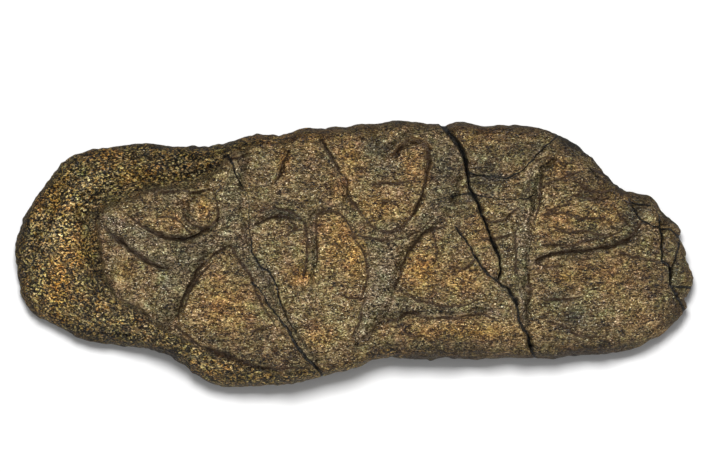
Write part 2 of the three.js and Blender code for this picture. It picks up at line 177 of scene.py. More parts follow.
# Blood-vessel grooves and shallow furrows.
GROOVES: tuple[Stroke, ...] = (
    Stroke(1.8, ((13, 6, 14), (12, 0, 14.6), (11.2, -6, 12.5), (11, -11, 11.6), (10, -16, 12),
                 (8, -21, 10.6), (5.5, -26, 8), (2.8, -30.5, 5), (0.6, -34, 3))),
    Stroke(1.1, ((14, -19.4, 10), (21, -20, 6.5), (30, -21.3, 5), (38, -21.5, 4.5), (43, -20.8, 4),
                 (48, -20, 3.5), (53, -21.5, 3), (57, -24, 2.5))),
    Stroke(1.2, ((14, 3, 10), (18, 5, 9.4), (24, 9.4, 8), (29.6, 14, 9.6), (33, 21, 11.4), (35, 29, 12.4),
                 (35.4, 37, 12), (33.4, 42.6, 9), (28.6, 46, 5.6), (23, 46.8, 4.6), (17, 44.4, 4.6),
                 (13, 41, 4))),
    Stroke(1.1, ((9, 5, 7), (4, 8, 6.6), (0.6, 12.4, 5.4), (-3, 18, 4.4), (-4.4, 24, 4), (-6, 30, 3.8),
                 (-9.5, 37, 3.4), (-13.5, 44, 2.8))),
    Stroke(0.8, ((-19, 13.6, 4.6), (-16.4, 11, 3.8), (-15.8, 5, 3.3), (-15.8, -2, 3.4), (-16.3, -8, 3.4),
                 (-16, -14, 2.4))),
    Stroke(1.2, ((-38, 11.6, 3), (-33, 14.8, 3.4), (-28, 15.8, 3.6), (-23, 14.2, 3.6), (-18.6, 12.4, 4))),
    Stroke(1.0, ((-18.6, 12.4, 4), (-14, 16.4, 3.6), (-9, 18.6, 3.6), (-4.6, 18.4, 3.8), (-1, 15, 4))),
    Stroke(1.7, ((-95, 13, 5), (-89, 10, 7.4), (-83, 6.4, 8.8), (-77, 3, 9.6), (-71, 0.4, 10.4),
                 (-65, 0, 10.6), (-58, 2.4, 9.4), (-52, 5, 8.8), (-45, 8.4, 10))),
    Stroke(1.3, ((-61, -2, 9), (-64.4, -8, 11), (-68, -15, 11), (-70.6, -21, 9), (-72, -27, 6),
                 (-73, -30, 4))),
    Stroke(1.7, ((-45, 7, 9), (-41.4, 1, 7), (-37.6, -5.6, 6.2), (-34.4, -11, 5.8), (-31, -17, 5.4),
                 (-27.6, -22.5, 5), (-23.4, -28.6, 4.6), (-18.6, -35, 4), (-14.6, -40, 3.6))),
    Stroke(1.0, ((-45, 8, 10), (-46.6, 16, 8.8), (-45.6, 24, 7.6), (-43.6, 31, 6.4), (-41.6, 37, 4.6))),
    Stroke(1.5, ((-71, 22, 4.4), (-67, 18.6, 5), (-63.4, 14.4, 4.8), (-59.4, 10.2, 4.2), (-55, 9.2, 3.4),
                 (-51, 12.4, 3), (-49.6, 18, 3))),
    Stroke(2.7, ((-79, 10, 2), (-74.6, 7.6, 2.4), (-69, 6, 3), (-63, 5.8, 3.4), (-57.6, 8, 2.6))),
    Stroke(2.8, ((-93, 8.6, 2), (-89, 5.4, 3), (-84, 1.2, 3.2), (-79, -2, 2.6), (-74, -4.6, 2.2),
                 (-70, -5.5, 1.6))),
    Stroke(1.5, ((75, 35.4, 4), (70.4, 32.6, 6), (68, 27, 6), (66.2, 20, 7), (64.6, 13, 7), (64, 5, 6.4),
                 (63.8, -3, 6), (64, -11, 5), (64.6, -19, 4.6), (65.4, -26, 4.2))),
    Stroke(0.6, ((45, 30.4, 2.4), (50, 29.4, 3), (56, 28.9, 3), (61, 29.6, 2.6))),
    Stroke(0.6, ((67, -3.6, 3.4), (72, -1, 3.6), (79, 1.8, 3.4), (87, 1.6, 3.4), (95, 3.2, 3.6),
                 (104, 6.4, 3))),
    Stroke(0.6, ((76, 4.6, 2.4), (83, 5.4, 2.8), (90, 6.9, 2.8), (97, 9, 3.4), (103, 12, 2.4))),
)

# Narrow dark lines at the feet of the grooves' walls, and folds in the bone. Their colour is partly dark fill
# and partly painted shade.
CREASES: tuple[Stroke, ...] = (
    Stroke(0.9, ((0, 7.4, 0.8), (1, 4.6, 1), (3.8, 0.4, 1.1), (5, -4.4, 1.2), (5.2, -9.6, 1), (4, -14, 0.8),
                 (2.6, -16.4, 0.7))),
    Stroke(0.7, ((-5, -15.2, 0.6), (-1, -16.8, 0.8), (4.4, -16.8, 0.7))),
    Stroke(0.9, ((4, -17.6, 0.8), (3.4, -21, 1), (1.8, -26, 1), (0, -31.4, 0.7))),
    Stroke(0.9, ((36, 11, 0.7), (32, 9.8, 0.9), (28, 8.6, 1.2), (23.6, 4.4, 1.4), (20, 0, 1.6),
                 (18.2, -5, 1.5), (17.2, -9, 1.3), (16, -13, 0.7))),
    Stroke(1.5, ((15.4, 37.4, 1.3), (17.4, 40, 2), (20.4, 42.2, 2.2), (24, 42.6, 2.1), (27.2, 41, 2.1),
                 (28.5, 37.4, 2), (28, 32, 1.5), (26.8, 26, 1), (25.2, 21, 1.2), (22.4, 14.6, 1),
                 (18.6, 10.6, 0.8))),
    Stroke(0.9, ((-12.6, 43.4, 0.9), (-8.4, 36.6, 1.2), (-5, 31.6, 0.9), (-2.6, 27, 0.8), (-2, 22.6, 1),
                 (0.6, 18.2, 1.3), (3.6, 14.2, 1.2), (8, 10, 0.8), (13, 8.8, 0.7), (17.4, 10, 0.7))),
    Stroke(0.7, ((-2, 7.4, 0.6), (2.4, 6.6, 0.8), (8, 5.8, 1), (13.4, 5.2, 1), (17.6, 6.4, 0.6))),
    Stroke(0.8, ((-18.6, 11.4, 0.9), (-17.6, 7, 1), (-17.4, 1, 1), (-17.8, -4, 1.1), (-18.8, -8.4, 1))),
    Stroke(0.7, ((-14.6, 13.2, 0.9), (-14, 8, 0.8), (-13.9, 2, 0.8), (-14.2, -5, 0.6))),
    Stroke(0.9, ((-14.4, 13.6, 0.9), (-11.6, 15.6, 1.2), (-8, 16.2, 1.1), (-4.8, 15, 0.9),
                 (-2.4, 11.8, 0.9), (-0.4, 8, 0.8))),
    Stroke(0.5, ((18.4, 9.6, 0.8), (14, 8.2, 1), (9, 9.4, 1), (5, 12, 1.1))),
    Stroke(0.5, ((17, 5.6, 0.6), (21, 6.8, 0.8), (26, 9.6, 0.8), (30, 13, 0.6))),
    Stroke(0.4, ((10, 17.4, 0.6), (12.4, 19.6, 0.9), (15.6, 19.4, 0.7), (17, 16.6, 0.5))),
    Stroke(0.9, ((-36.6, 11.4, 0.7), (-32, 13.7, 1.1), (-28, 14.6, 1.2), (-24.4, 13, 1.1),
                 (-21.4, 10.6, 0.9))),
    Stroke(0.8, ((-30, 17.4, 0.7), (-26.4, 17.2, 1), (-22.8, 15.4, 1.1), (-19.6, 12.6, 0.8))),
    Stroke(0.8, ((-25.4, 6.6, 0.6), (-23.8, 8.6, 1), (-21, 9.5, 1), (-17.6, 9.4, 0.8))),
    Stroke(1.0, ((-47.6, 3, 0.8), (-52.4, 0.4, 1.1), (-57, -4, 1.1), (-60, -8.8, 1.2), (-63.2, -14.2, 1.1),
                 (-65.8, -20, 1), (-66.6, -25.4, 0.7))),
    Stroke(0.6, ((-53.6, -3, 0.6), (-57.6, -7.4, 0.7), (-60.4, -12, 0.8), (-63, -17.4, 0.7),
                 (-64.4, -22, 0.5))),
    Stroke(0.9, ((-46.4, 2.4, 0.9), (-43, -2.6, 1.1), (-40, -7.2, 1), (-38, -12, 0.9), (-36, -16.6, 0.7),
                 (-33, -21.6, 0.8), (-30, -26.6, 0.6))),
    Stroke(1.1, ((-85, 14.6, 0.6), (-80.4, 10.6, 1.2), (-74.6, 7.6, 1.5), (-68, 5.8, 1.8), (-61.6, 6, 1.8),
                 (-57.4, 8.2, 1.2), (-54.6, 10, 0.8))),
    Stroke(1.2, ((-93.4, 9, 0.9), (-89.4, 6, 1.8), (-84.6, 1.9, 2), (-80, -1.3, 1.8), (-75, -4.4, 1.1),
                 (-69.4, -5.9, 0.8))),
    Stroke(0.9, ((-73.6, 13.6, 0.6), (-69.6, 14, 0.9), (-66.4, 12.4, 0.9), (-63.4, 9.6, 0.8),
                 (-61, 7.6, 0.6))),
    Stroke(1.0, ((-64.6, 15.4, 0.7), (-62.4, 12, 1), (-58.6, 10, 1.2), (-54.6, 10.6, 1.2),
                 (-51.9, 13.6, 1.1), (-51.2, 18, 0.9), (-52.6, 22.4, 0.7))),
    Stroke(0.8, ((-72.6, 23.6, 0.8), (-68, 23.4, 1), (-64.6, 24.2, 1), (-60, 23.3, 1.1),
                 (-54.6, 24.7, 0.8))),
    Stroke(0.8, ((71.6, 29, 0.8), (71, 24, 1), (70.4, 18.6, 0.9), (68.4, 13, 0.6))),
    Stroke(1.0, ((66.2, -7.4, 0.8), (66.8, -12, 1.3), (66.8, -17, 1.1), (66, -20.4, 0.6))),
    Stroke(0.9, ((69.6, 35.2, 0.8), (73, 36.6, 1.1), (77, 35.6, 1.1), (80, 33.2, 0.7))),
    Stroke(0.8, ((48.4, 14.2, 0.9), (51.6, 12.4, 1.3), (56.6, 12.8, 1.2), (59.4, 15.4, 0.9),
                 (62.6, 17.4, 0.8))),
    Stroke(0.8, ((47.4, 5, 0.7), (50.6, 5.6, 1.3), (56, 6, 1.4), (60.8, 7.8, 0.7))),
    Stroke(0.8, ((36.6, -5, 0.9), (40.6, -5.4, 1.3), (43.6, -4.6, 1.2), (46, -1.6, 0.7))),
    Stroke(0.6, ((29.6, 9, 0.7), (31, 4.4, 0.9), (31.6, 0, 0.8), (30.4, -3.6, 0.6))),
    Stroke(0.9, ((-24.4, 39, 0.6), (-26.4, 34, 1.4), (-28, 30.4, 1.3), (-29.6, 27, 0.6))),
    Stroke(0.6, ((-38.6, -29.4, 0.6), (-36, -28.3, 0.9), (-33.4, -28.2, 0.6))),
    Stroke(0.7, ((6.6, 26.2, 0.7), (12, 26.6, 1.2), (17, 27, 1.2), (22, 27.6, 0.7))),
    Stroke(0.5, ((8, 19.6, 0.6), (11.6, 20.4, 0.8), (15.6, 20.2, 0.6))),
    Stroke(0.7, ((18, -13.6, 0.7), (22, -16.6, 1.1), (28, -18.6, 1), (35, -19.6, 0.9), (43, -19, 1),
                 (47.4, -17.2, 0.8))),
    Stroke(0.8, ((12, -24, 0.8), (16.4, -25, 1.2), (20.6, -22.2, 1.2), (27, -24, 1.1), (34, -24.2, 1.1),
                 (39, -24.2, 1), (44, -22.9, 1), (50, -23, 1.1), (55, -25.4, 0.8))),
    Stroke(0.6, ((19.4, -29.4, 0.6), (22.4, -31.4, 0.9), (26.6, -30.8, 0.7))),
    Stroke(0.8, ((72, -17.5, 0.8), (77, -17.3, 1.2), (82, -17, 1), (86.6, -16.4, 0.7))),
    Stroke(0.9, ((86.4, 25.4, 0.8), (89.4, 23.8, 1.1), (95, 23.6, 1.2), (101, 25.2, 0.8))),
    Stroke(0.8, ((72.6, 27, 0.9), (78, 28.4, 1), (82, 30.2, 1), (85.6, 31, 0.7))),
    Stroke(0.5, ((71.6, 14.6, 0.6), (76, 17, 0.8), (80.6, 19.2, 0.6))),
    Stroke(0.7, ((72, 3.4, 0.8), (77, 3.6, 1.1), (83, 3.2, 1), (89, 5, 1), (95.6, 6.6, 1.1),
                 (101.6, 8.6, 0.7))),
    Stroke(0.9, ((69, -2.6, 0.9), (72.4, -0.8, 1.4), (79, 0.8, 1.3), (87, 1.2, 1.4), (95, 2.4, 1.5),
                 (101, 4.2, 1.3), (106, 7.6, 1), (108.6, 11.4, 0.7))),
    Stroke(0.9, ((83.6, 22.4, 0.9), (88, 21.2, 1.4), (92.6, 20.8, 1.4), (97, 21.6, 0.9))),
    Stroke(0.4, ((84, 27.4, 0.6), (88, 25.4, 0.9), (84.6, 22.6, 0.7))),
    Stroke(0.5, ((73, 14.6, 0.7), (78, 15.8, 1), (83, 14.2, 1), (88, 13.4, 1), (94.6, 14, 0.7))),
    Stroke(0.6, ((77, 9.2, 0.7), (82, 8.2, 1.1), (87, 8.8, 1), (92, 7.4, 0.9), (97, 8, 0.6))),
    Stroke(0.5, ((69.4, -3.8, 0.7), (74, -5, 1), (79.6, -4.4, 0.7))),
    Stroke(0.6, ((101, 0.4, 0.7), (106, -1, 1), (111, -2.2, 1), (116.4, -3, 0.8))),
    Stroke(0.5, ((74, -25.6, 0.6), (79.6, -27.6, 0.9), (85, -31, 1), (91, -31.6, 0.8), (97.6, -30.4, 0.6))),
    Stroke(0.8, ((-47.4, 36, 1.1), (-44, 36.4, 0.9), (-40.6, 38, 0.7))),
    Stroke(0.6, ((61.8, 11.4, 0.6), (61.4, 5, 0.8), (61.6, -2, 0.8), (62, -8, 0.6))),
    Stroke(1.3, ((-68, -27, 0.7), (-63.4, -30.4, 0.9), (-59.4, -33.8, 1.1), (-55.6, -36, 1.6),
                 (-51.4, -37.6, 2.2), (-47, -39.2, 1.8), (-42, -41.2, 1.1), (-36, -42.8, 0.9),
                 (-29, -43.5, 0.8), (-21, -43.2, 0.7))),
    Stroke(0.5, ((100, 16.4, 0.6), (103, 12, 0.9), (107.6, 9.6, 0.7))),
    Stroke(0.6, ((88, 32.4, 0.7), (92, 31.4, 1), (96.6, 29, 0.9), (99.6, 26.8, 0.7))),
)

# Cracks and hairlines of the upper face; the long ones run out over the rim.
CRACKS: tuple[Stroke, ...] = (
    Stroke(4.4, ((31.6, 53, 1.8), (34, 49, 1.9), (36, 46, 2.1), (38.5, 43, 2.4), (40.5, 40, 2.5),
                 (42, 36.5, 2.3), (42.6, 33, 2.0), (43, 29, 1.2), (44, 25, 1.0), (45.5, 22, 1.1),
                 (47, 19, 1.3), (48.5, 15, 1.0), (50, 11.5, 0.9), (51.5, 8, 1.1), (52.6, 5, 1.4),
                 (54, 2, 1.5), (55, -1, 0.9), (55.7, -4, 0.7), (55.1, -8, 0.7), (54.4, -10.4, 0.6))),
    Stroke(3.2, ((39, 10, 0.6), (41, 7, 0.7), (44, 3, 0.7), (45.5, 0, 0.8), (47, -2.5, 0.9),
                 (50, -6.5, 0.9), (54, -10, 0.9), (56.2, -12, 1), (58.5, -12.7, 1.1), (59, -14.5, 1.1),
                 (61, -17, 1.5), (62, -20, 1.0), (62.2, -24, 0.8), (63.5, -27, 1.0), (65.5, -29.5, 1.3),
                 (66.5, -33, 1.4), (67.5, -36.5, 1.1), (69, -39.8, 1.2), (70.4, -43, 1.4))),
    Stroke(1.2, ((43, 31, 1.2), (47, 30, 0.9), (51, 29.4, 0.8), (55, 29.4, 0.8), (58, 28.5, 0.7),
                 (61, 30, 0.7), (65, 32.5, 0.6), (68, 36, 0.6), (72, 40, 0.6), (77, 44.5, 0.7),
                 (79, 46.6, 0.8))),
    Stroke(0.6, ((31, 20.5, 0.4), (38, 22.1, 0.5), (44, 23, 0.6), (50, 21.6, 0.5), (55, 21, 0.4),
                 (60, 20.5, 0.4), (66, 21.2, 0.5), (70, 23, 0.4))),
    Stroke(1.4, ((-47.4, 37, 1.2), (-46, 34, 1.1), (-44.7, 30, 0.6), (-43, 27.5, 0.5), (-41, 23.5, 0.3),
                 (-39.5, 20.5, 0.25), (-39.6, 15, 0.25), (-39.5, 10, 0.4), (-38.5, 3, 0.6), (-38, 0, 0.7),
                 (-35, -4.5, 0.9), (-31, -8, 1), (-29.5, -11, 1), (-28.5, -16, 0.7), (-25, -24, 0.6),
                 (-21.5, -29, 0.6))),
    Stroke(3.4, ((-38.5, -11, 0.8), (-35.5, -14, 0.8), (-31, -21, 0.8), (-27, -26, 0.9), (-24, -30.5, 1),
                 (-20.5, -36, 1.2), (-16.5, -40.5, 2), (-13.6, -43.2, 1.3), (-12, -46.4, 0.9))),
    Stroke(2.6, ((116.4, 15.4, 0.7), (116.3, 9.5, 0.9), (117, 5, 0.9), (117, -1, 0.9), (117.4, -2.6, 1),
                 (119.5, -4.5, 1.1), (120, -8, 1.1), (120.5, -11.5, 1.1), (122, -15, 1.1),
                 (124.6, -19.4, 1.2), (126, -22, 1.2))),
    Stroke(1.8, ((117.5, 9.5, 0.8), (120, 9, 0.9), (123.6, 6.8, 1), (126, 5, 1.2))),
    Stroke(1.6, ((120.5, -12, 0.9), (124, -12.5, 0.9), (128, -12.8, 1), (132, -13, 1.2))),
    Stroke(1.6, ((120.6, -5.4, 0.7), (122.3, -1, 0.9), (123.6, 4, 0.9))),
    Stroke(1.2, ((104.6, 21, 0.6), (107, 16, 0.8), (109.5, 12.5, 0.7), (113, 11, 0.8), (116.2, 9.8, 0.8))),
    Stroke(1.0, ((106, 19.6, 0.6), (109, 19, 0.8), (112.4, 18.6, 0.6))),
)

# Hairlines and shallow vessel channels of the hidden face.
UNDER_GROOVES: tuple[Stroke, ...] = (
    Stroke(1.1, ((-98, 12, 3), (-74, 17, 5.5), (-50, 13, 6.5), (-26, 19, 6), (-6, 27, 4.5), (10, 38, 2.5))),
    Stroke(1.0, ((-50, 13, 5.5), (-38, -2, 5), (-30, -18, 4.5), (-12, -30, 3.5), (4, -37, 2.5))),
    Stroke(0.9, ((34, 30, 3), (50, 24, 5), (70, 12, 5.5), (90, -2, 4.5), (106, -18, 2.6))),
)
UNDER_CRACKS: tuple[Stroke, ...] = (
    Stroke(1.6, ((31.6, 53, 1.6), (37, 41, 1.1), (44, 30, 0.9), (46, 16, 0.8), (53, 3, 0.8), (56, -11, 0.7),
                 (62, -24, 0.9), (66, -34, 1.1), (70.4, -43, 1.4))),
    Stroke(1.4, ((79, 46.6, 1), (70, 37, 0.8), (62, 31, 0.7), (50, 28, 0.6))),
    Stroke(1.6, ((-12, -46.4, 0.9), (-18, -38, 0.9), (-28, -27, 0.7), (-35, -13, 0.6))),
)

# Lumps between the grooves and at the crumbly right end: [x, y, radius, height].
LUMPS: Points = (
    (-86, -8, 10, 1.5), (-74, 14, 8, 1.2), (-57, 17.6, 6, 1.8), (-47, -16, 15, 0.8), (-36, 28, 10, 0.6),
    (-26, 3, 9, 0.8), (-6, 1, 10, 1.1), (10, 26, 14, 0.9), (22, 36, 6.4, 1), (28, -4, 10, 0.9),
    (38, 1, 7, 0.9), (50, -28, 9, 0.8), (22, -27.5, 6, 1), (53, 17.4, 5, 1), (56, 39, 10, 0.7),
    (84, 22, 12, 0.6), (92, -8, 15, 0.6), (112, 16, 5, 1.4), (121, 10.5, 3.6, 1.7), (120.6, 2, 4.4, 1.7),
    (125, -8, 4.6, 2), (123.6, -16, 3, 1.2), (80, -26, 9, 0.5), (-10, -28, 9, 0.5),
)

# Stains, with painted shade and light, each [x, y, long radius, cross radius, strength]. The DARK ovals along
# the edges and in small hollows are painted shade; some PALE ovals are painted highlights and painted light
# on walls and flanks that lie in shade, and the WARM ovals on the far flank add painted light there.
STAINS_AND_PAINTED_LIGHT: dict[Tint, Points] = {
    Tint.WARM: (
        (-95, 38, 7, 2.4, 1.0), (-80, 31, 12, 4, 0.6), (-112, -12, 5, 12, 1.0), (-114, 20, 9, 9, 0.7),
        (-104, 2, 7, 8, 0.7), (-20, -8, 6, 4, 1.0), (0, 0, 5, 11, 1.0), (-50, -20, 13, 10, 0.7),
        (-12, -32, 8, 5, 0.6), (10, 18, 9, 6, 0.7), (22, 33, 5, 7, 0.7), (-1, 36, 6, 7, 0.7),
        (-26, 36, 3, 6, 0.9), (26, -6, 8, 9, 1.0), (40, -10, 9, 6, 0.8), (40, -30, 24, 4, 1.0),
        (47, 9, 4, 8, 0.5), (78, 12, 9, 7, 0.7), (96, 14, 9, 5, 0.6), (78, 34, 7, 5, 0.6),
        (95, -8, 14, 8, 0.55), (108, -22, 9, 8, 0.3), (80, -9, 5, 3, 0.9), (-70, 15, 8, 5, 0.5),
        (-40, -44, 16, 3.4, 0.4), (30, -38, 34, 1.8, 0.4), (90, -36, 16, 2, 0.3), (-86, -6, 4, 6, 0.5),
        (-56.6, 17.4, 2.6, 4.6, 1.0), (-52, -12, 6, 6, 0.6), (-6, 5, 8, 12, 0.8), (-5, 24, 5, 9, 0.8),
        (-56, -20, 8, 5, 0.6), (-20, 44, 30, 4, 0.6), (45, 44, 20, 5, 0.5), (96, 24, 10, 6, 0.8),
    ),
    Tint.COOL: (
        (8, 40, 6, 4, 1.0), (13, 32.6, 6, 2.6, 0.8), (84, -24, 7, 5, 1.0), (78, -17, 6, 3, 0.8),
        (42, -33, 14, 2.2, 0.6), (-31, -9, 2.6, 5, 0.7), (-53, -33, 4, 2, 0.7), (98, 27, 10, 3, 0.7),
        (35, 36, 6, 9, 0.35), (58, -12, 4, 4, 0.5), (50, 27, 7, 6, 0.6), (122, -8, 4, 9, 0.5),
        (-100, 10, 4, 4, 0.5), (35, -13, 3, 1.6, 0.6), (106, 12, 4, 7, 0.8), (91, 23, 7, 3, 0.6),
        (70, 40, 6, 3, 0.5), (48, 36, 5, 4, 0.6), (57, 2, 2, 8, 0.5), (-70, 24, 8, 1.6, 0.5),
        (-75, 17, 4, 2.4, 0.5), (-24, 16, 8, 2.4, 0.4), (-35, -5, 3, 6, 0.4), (36, -31, 5, 1.6, 0.7),
        (45, 22, 3, 3.4, 0.9),
    ),
    # PALE: paler bone, and painted highlights and painted light where the bone lies in shade.
    Tint.PALE: (
        (-90, 13, 6, 4, 0.9), (-86, 0, 7, 3, 0.7), (-72, -8, 4, 6, 1.0), (-60, -1, 6, 3, 0.8),
        (-22, 30, 6, 7, 0.5), (-36, 30, 5, 8, 0.5), (-40, 6, 6, 5, 0.5), (10, -15, 5, 9, 1.0),
        (12, 0, 6, 6, 0.5), (61, 6, 3, 10, 0.9), (-52, -24, 7, 4, 0.6), (-116, 22, 5, 8, 0.6),
        (18, 38, 3, 3, 0.5), (-3, -18, 4, 5, 0.5), (3, -30, 3, 5, 0.6), (64, -18, 2, 6, 0.6),
        (-78, 36, 14, 3, 0.4), (43, -2, 4, 5, 0.5), (-76, 16, 7, 3.4, 0.8), (-66, 20.6, 5, 2.4, 0.8),
        (-84, -11, 6, 2.4, 0.6), (-105, 22, 7, 7, 0.8), (-114, 10, 7, 7, 1.0), (-35, -4, 5, 7, 1.0),
        (-60, -21, 9, 6, 1.0), (15, -11, 5, 6, 1.0), (-10, 4, 8, 7, 0.8), (65, 9, 4, 5, 0.5),
        (-99, 12, 4, 5, 0.6), (-5, 26, 5, 9, 0.7), (-26, -7, 5, 5, 0.5), (-103, 20, 8, 6, 0.8),
        (-75, 4, 4, 4, 0.7), (4, -31, 4, 4, 0.9), (15, 22, 5, 4, 0.6), (-55, -20, 6, 4, 0.6),
        (-25, -26, 6, 4, 0.6), (55, -8, 6, 4, 0.6), (65, 7, 3.4, 10, 0.9), (-115, 16, 5, 5, 0.6),
        (85, 10, 5, 5, 0.7), (-6, 4, 5, 6, 0.6), (-35, 0, 4, 4, 0.7), (5, -20, 3.4, 14, 0.9),
        (14, -7, 4, 9, 0.7), (-57, -23, 8, 6, 0.9), (-60, 16, 7, 5, 0.7), (-79, 8, 7, 6, 0.7),
        (55, -14, 5, 4, 0.7),
    ),
    # DARK: dark stains, and painted shade along the edges and in hollows.
    Tint.DARK: (
        (-98, -8, 4, 9, 0.6), (-98, 22, 4, 6, 0.5), (-124, 6, 5, 16, 0.4), (-118, 28, 5, 8, 0.35),
        (-104, -18, 7, 4, 0.45), (-97, 15, 2, 4, 0.4), (-90, -28, 18, 5, 0.45), (-66, 31, 12, 3, 0.4),
        (-51, -37.6, 9, 2.4, 1.0), (-70, -33, 8, 3, 0.6), (-62, 6.4, 7, 2, 0.6), (-30, 15, 7, 3, 0.5),
        (-24.5, -12, 1, 1, 1.0), (-58.5, -40.5, 1.2, 1.2, 1.0), (40, 11, 2.4, 2, 0.7), (91, 30, 10, 6, 0.6),
        (73, 33, 5, 2.6, 0.5), (52, 30, 9, 6, 0.6), (95, 0, 36, 32, 0.36), (121, -6, 6, 16, 0.4),
        (100, -31, 20, 6, 0.5), (72, -33, 7, 5, 0.3), (34, 30, 6, 12, 0.35), (66, 24, 4, 8, 0.4),
        (20, -22, 14, 2, 0.5), (-66, -4, 4, 4, 0.3), (46, 28, 3, 3, 0.8), (108, 17, 8, 5, 0.6),
        (92, 22.5, 9, 2.6, 0.5), (88, 1.6, 17, 1.8, 0.5), (96, 6, 9, 1.8, 0.5), (-31, -41.4, 16, 1.8, 0.6),
        (84, 14, 12, 1.4, 0.35), (100, -12, 8, 2, 0.35), (118, -2, 3, 12, 0.4), (78, -4, 8, 2, 0.35),
        (-60, 42, 40, 2.4, 0.4), (58, 40, 9, 2, 0.35), (114, -8, 13, 24, 0.45), (88, -38, 34, 9, 1.0),
        (30, -39, 40, 9, 0.9), (-32, -44, 30, 8, 0.75), (-100, -32, 28, 7, 0.85), (60, 39, 18, 6, 0.5),
        (93, 25, 12, 6, 0.6), (40, 17, 7, 7, 0.6), (-30, 18, 15, 5, 0.4), (-61, 1, 8, 6, 0.4),
        (86, -1, 9, 4, 0.8), (106, 6, 7, 6, 0.6), (16, -26, 6, 7, 0.5), (26, -15, 9, 5, 0.35),
        (-35, -32, 6, 4, 0.55), (-86, -21, 9, 4, 0.6), (-106, -8, 5, 6, 0.55), (-75, 24, 6, 4, 0.4),
        (-75, -38, 14, 6, 1.0), (42, -33, 9, 3, 0.3), (-75, -2, 4, 3, 0.2), (10, 40, 7, 4, 0.25),
        (42, 40, 6, 7, 0.4), (84, 41, 8, 6, 1.0), (-75, 36, 9, 5, 0.35), (-35, 32, 8, 6, 0.35),
        (-64, -6, 5, 5, 0.35), (-45, -2, 5, 9, 0.3), (75, 4, 6, 4, 0.4), (-113, -22, 9, 5, 0.5),
        (-16, 23, 8, 5, 0.35), (35, -3, 6, 5, 0.3), (122, -22, 11, 8, 0.8), (46, 0, 4, 5, 0.3),
        (30, 11, 8, 3, 0.3), (-35, -20, 5, 4, 0.35), (-36, 14, 4, 5, 0.35), (-15, 35, 5, 5, 0.3),
        (105, 4, 6, 5, 0.35), (-101, -14, 6, 8, 0.45), (110, -31, 10, 5, 0.5), (-113, -26, 9, 5, 0.4),
    ),
}


def smoothstep(low: float, high: float, value: np.ndarray) -> np.ndarray:
    """Smooth rise from 0 at low to 1 at high: 3t² - 2t³ of the clipped share t."""
    share = np.clip((value - low) / (high - low), 0.0, 1.0)
    return share * share * (3.0 - 2.0 * share)


def smooth_path(points: Points, closed: bool, steps: int) -> np.ndarray:
    """Carries a centripetal spline through given points.

    Args:
        points: The points, each [x, y] or [x, y, width].
        closed: Whether the path joins up with its start.
        steps: How many samples each stretch between two points gets.

    Returns:
        Samples in order. Between points b and c it is the Barry-Goldman blend of a, b, c and d, with knots
        spaced by the root of the chord.
    """
    corners = np.array(points, float)
    count = len(corners)
    if closed:
        around = corners[np.arange(-1, count + 2) % count]
    else:
        around = np.vstack([2 * corners[0] - corners[1], corners, 2 * corners[-1] - corners[-2]])
    a, b, c, d = (around[i:len(around) - 3 + i] for i in range(4))
    runs = [np.linalg.norm((q - p)[:, :2], axis=1) for p, q in ((a, b), (b, c), (c, d))]
    chords = [np.maximum(run, SHORTEST_CHORD) ** 0.5 for run in runs]
    t0 = np.zeros(len(a))
    t1 = t0 + chords[0]
    t2 = t1 + chords[1]
    t3 = t2 + chords[2]
    share = np.arange(steps) / steps
    t = (t1[:, None] + (t2 - t1)[:, None] * share)[..., None]

    def between(p: np.ndarray, q: np.ndarray, start: np.ndarray, end: np.ndarray) -> np.ndarray:
        """The straight blend of p and q between two knots."""
        start, end = start[:, None, None], end[:, None, None]
        return ((end - t) * p + (t - start) * q) / (end - start)

    ab = between(a[:, None], b[:, None], t0, t1)
    bc = between(b[:, None], c[:, None], t1, t2)
    cd = between(c[:, None], d[:, None], t2, t3)
    curve = between(between(ab, bc, t0, t2), between(bc, cd, t1, t3), t1, t2)
    samples = curve.reshape(-1, corners.shape[1])
    return samples if closed else np.vstack([samples, corners[-1]])


def strip_distance(place: np.ndarray, path: np.ndarray, closed: bool = False) -> np.ndarray:
    """Signed distance from each place to a strip: distance to its middle line, less half its width there.

    Args:
        place: Places, shape (n, 2).
        path: Samples [x, y] or [x, y, width].
        closed: Whether the last sample joins up with the first.

    Returns:
        One distance per place, negative inside the strip.
    """
    ends = np.roll(path, -1, axis=0) if closed else path[1:]
    nearest = np.full(len(place), BEYOND)
    for a, b in zip(path, ends):
        run = b[:2] - a[:2]
        along = np.clip((place - a[:2]) @ run / max(run @ run, TINY), 0.0, 1.0)
        away = np.hypot(place[:, 0] - a[0] - run[0] * along, place[:, 1] - a[1] - run[1] * along)
        if len(a) > 2:
            away = away - (a[2] + (b[2] - a[2]) * along) / 2
        np.minimum(nearest, away, out=nearest)
    return nearest


def line_distances(place: np.ndarray, path: np.ndarray) -> tuple[np.ndarray, np.ndarray]:
    """Distances to a narrow strip, for places near it.

    Args:
        place: Places, shape (n, 2).
        path: Samples [x, y, width].

    Returns:
        The signed distance to the strip, and how far to the left of its middle line each place lies, in
        half widths. The second runs evenly through zero, so it stays exact between the mesh's points.
    """
    away = np.full(len(place), FAR)
    across = np.full(len(place), FAR)
    near = np.all((place > path[:, :2].min(0) - NEAR) & (place < path[:, :2].max(0) + NEAR), axis=1)
    spot = place[near]
    nearest, side_of_line = away[near], across[near]
    for a, b in zip(path, path[1:]):
        run = b[:2] - a[:2]
        offset = spot - a[:2]
        along = np.clip(offset @ run / max(run @ run, TINY), 0.0, 1.0)
        gap = np.hypot(offset[:, 0] - run[0] * along, offset[:, 1] - run[1] * along)
        half = (a[2] + (b[2] - a[2]) * along) / 2
        side = np.sign(run[0] * offset[:, 1] - run[1] * offset[:, 0])
        closer = gap - half < nearest
        nearest = np.where(closer, gap - half, nearest)
        side_of_line = np.where(closer, side * gap / half, side_of_line)
    away[near] = nearest
    across[near] = side_of_line
    return away, across


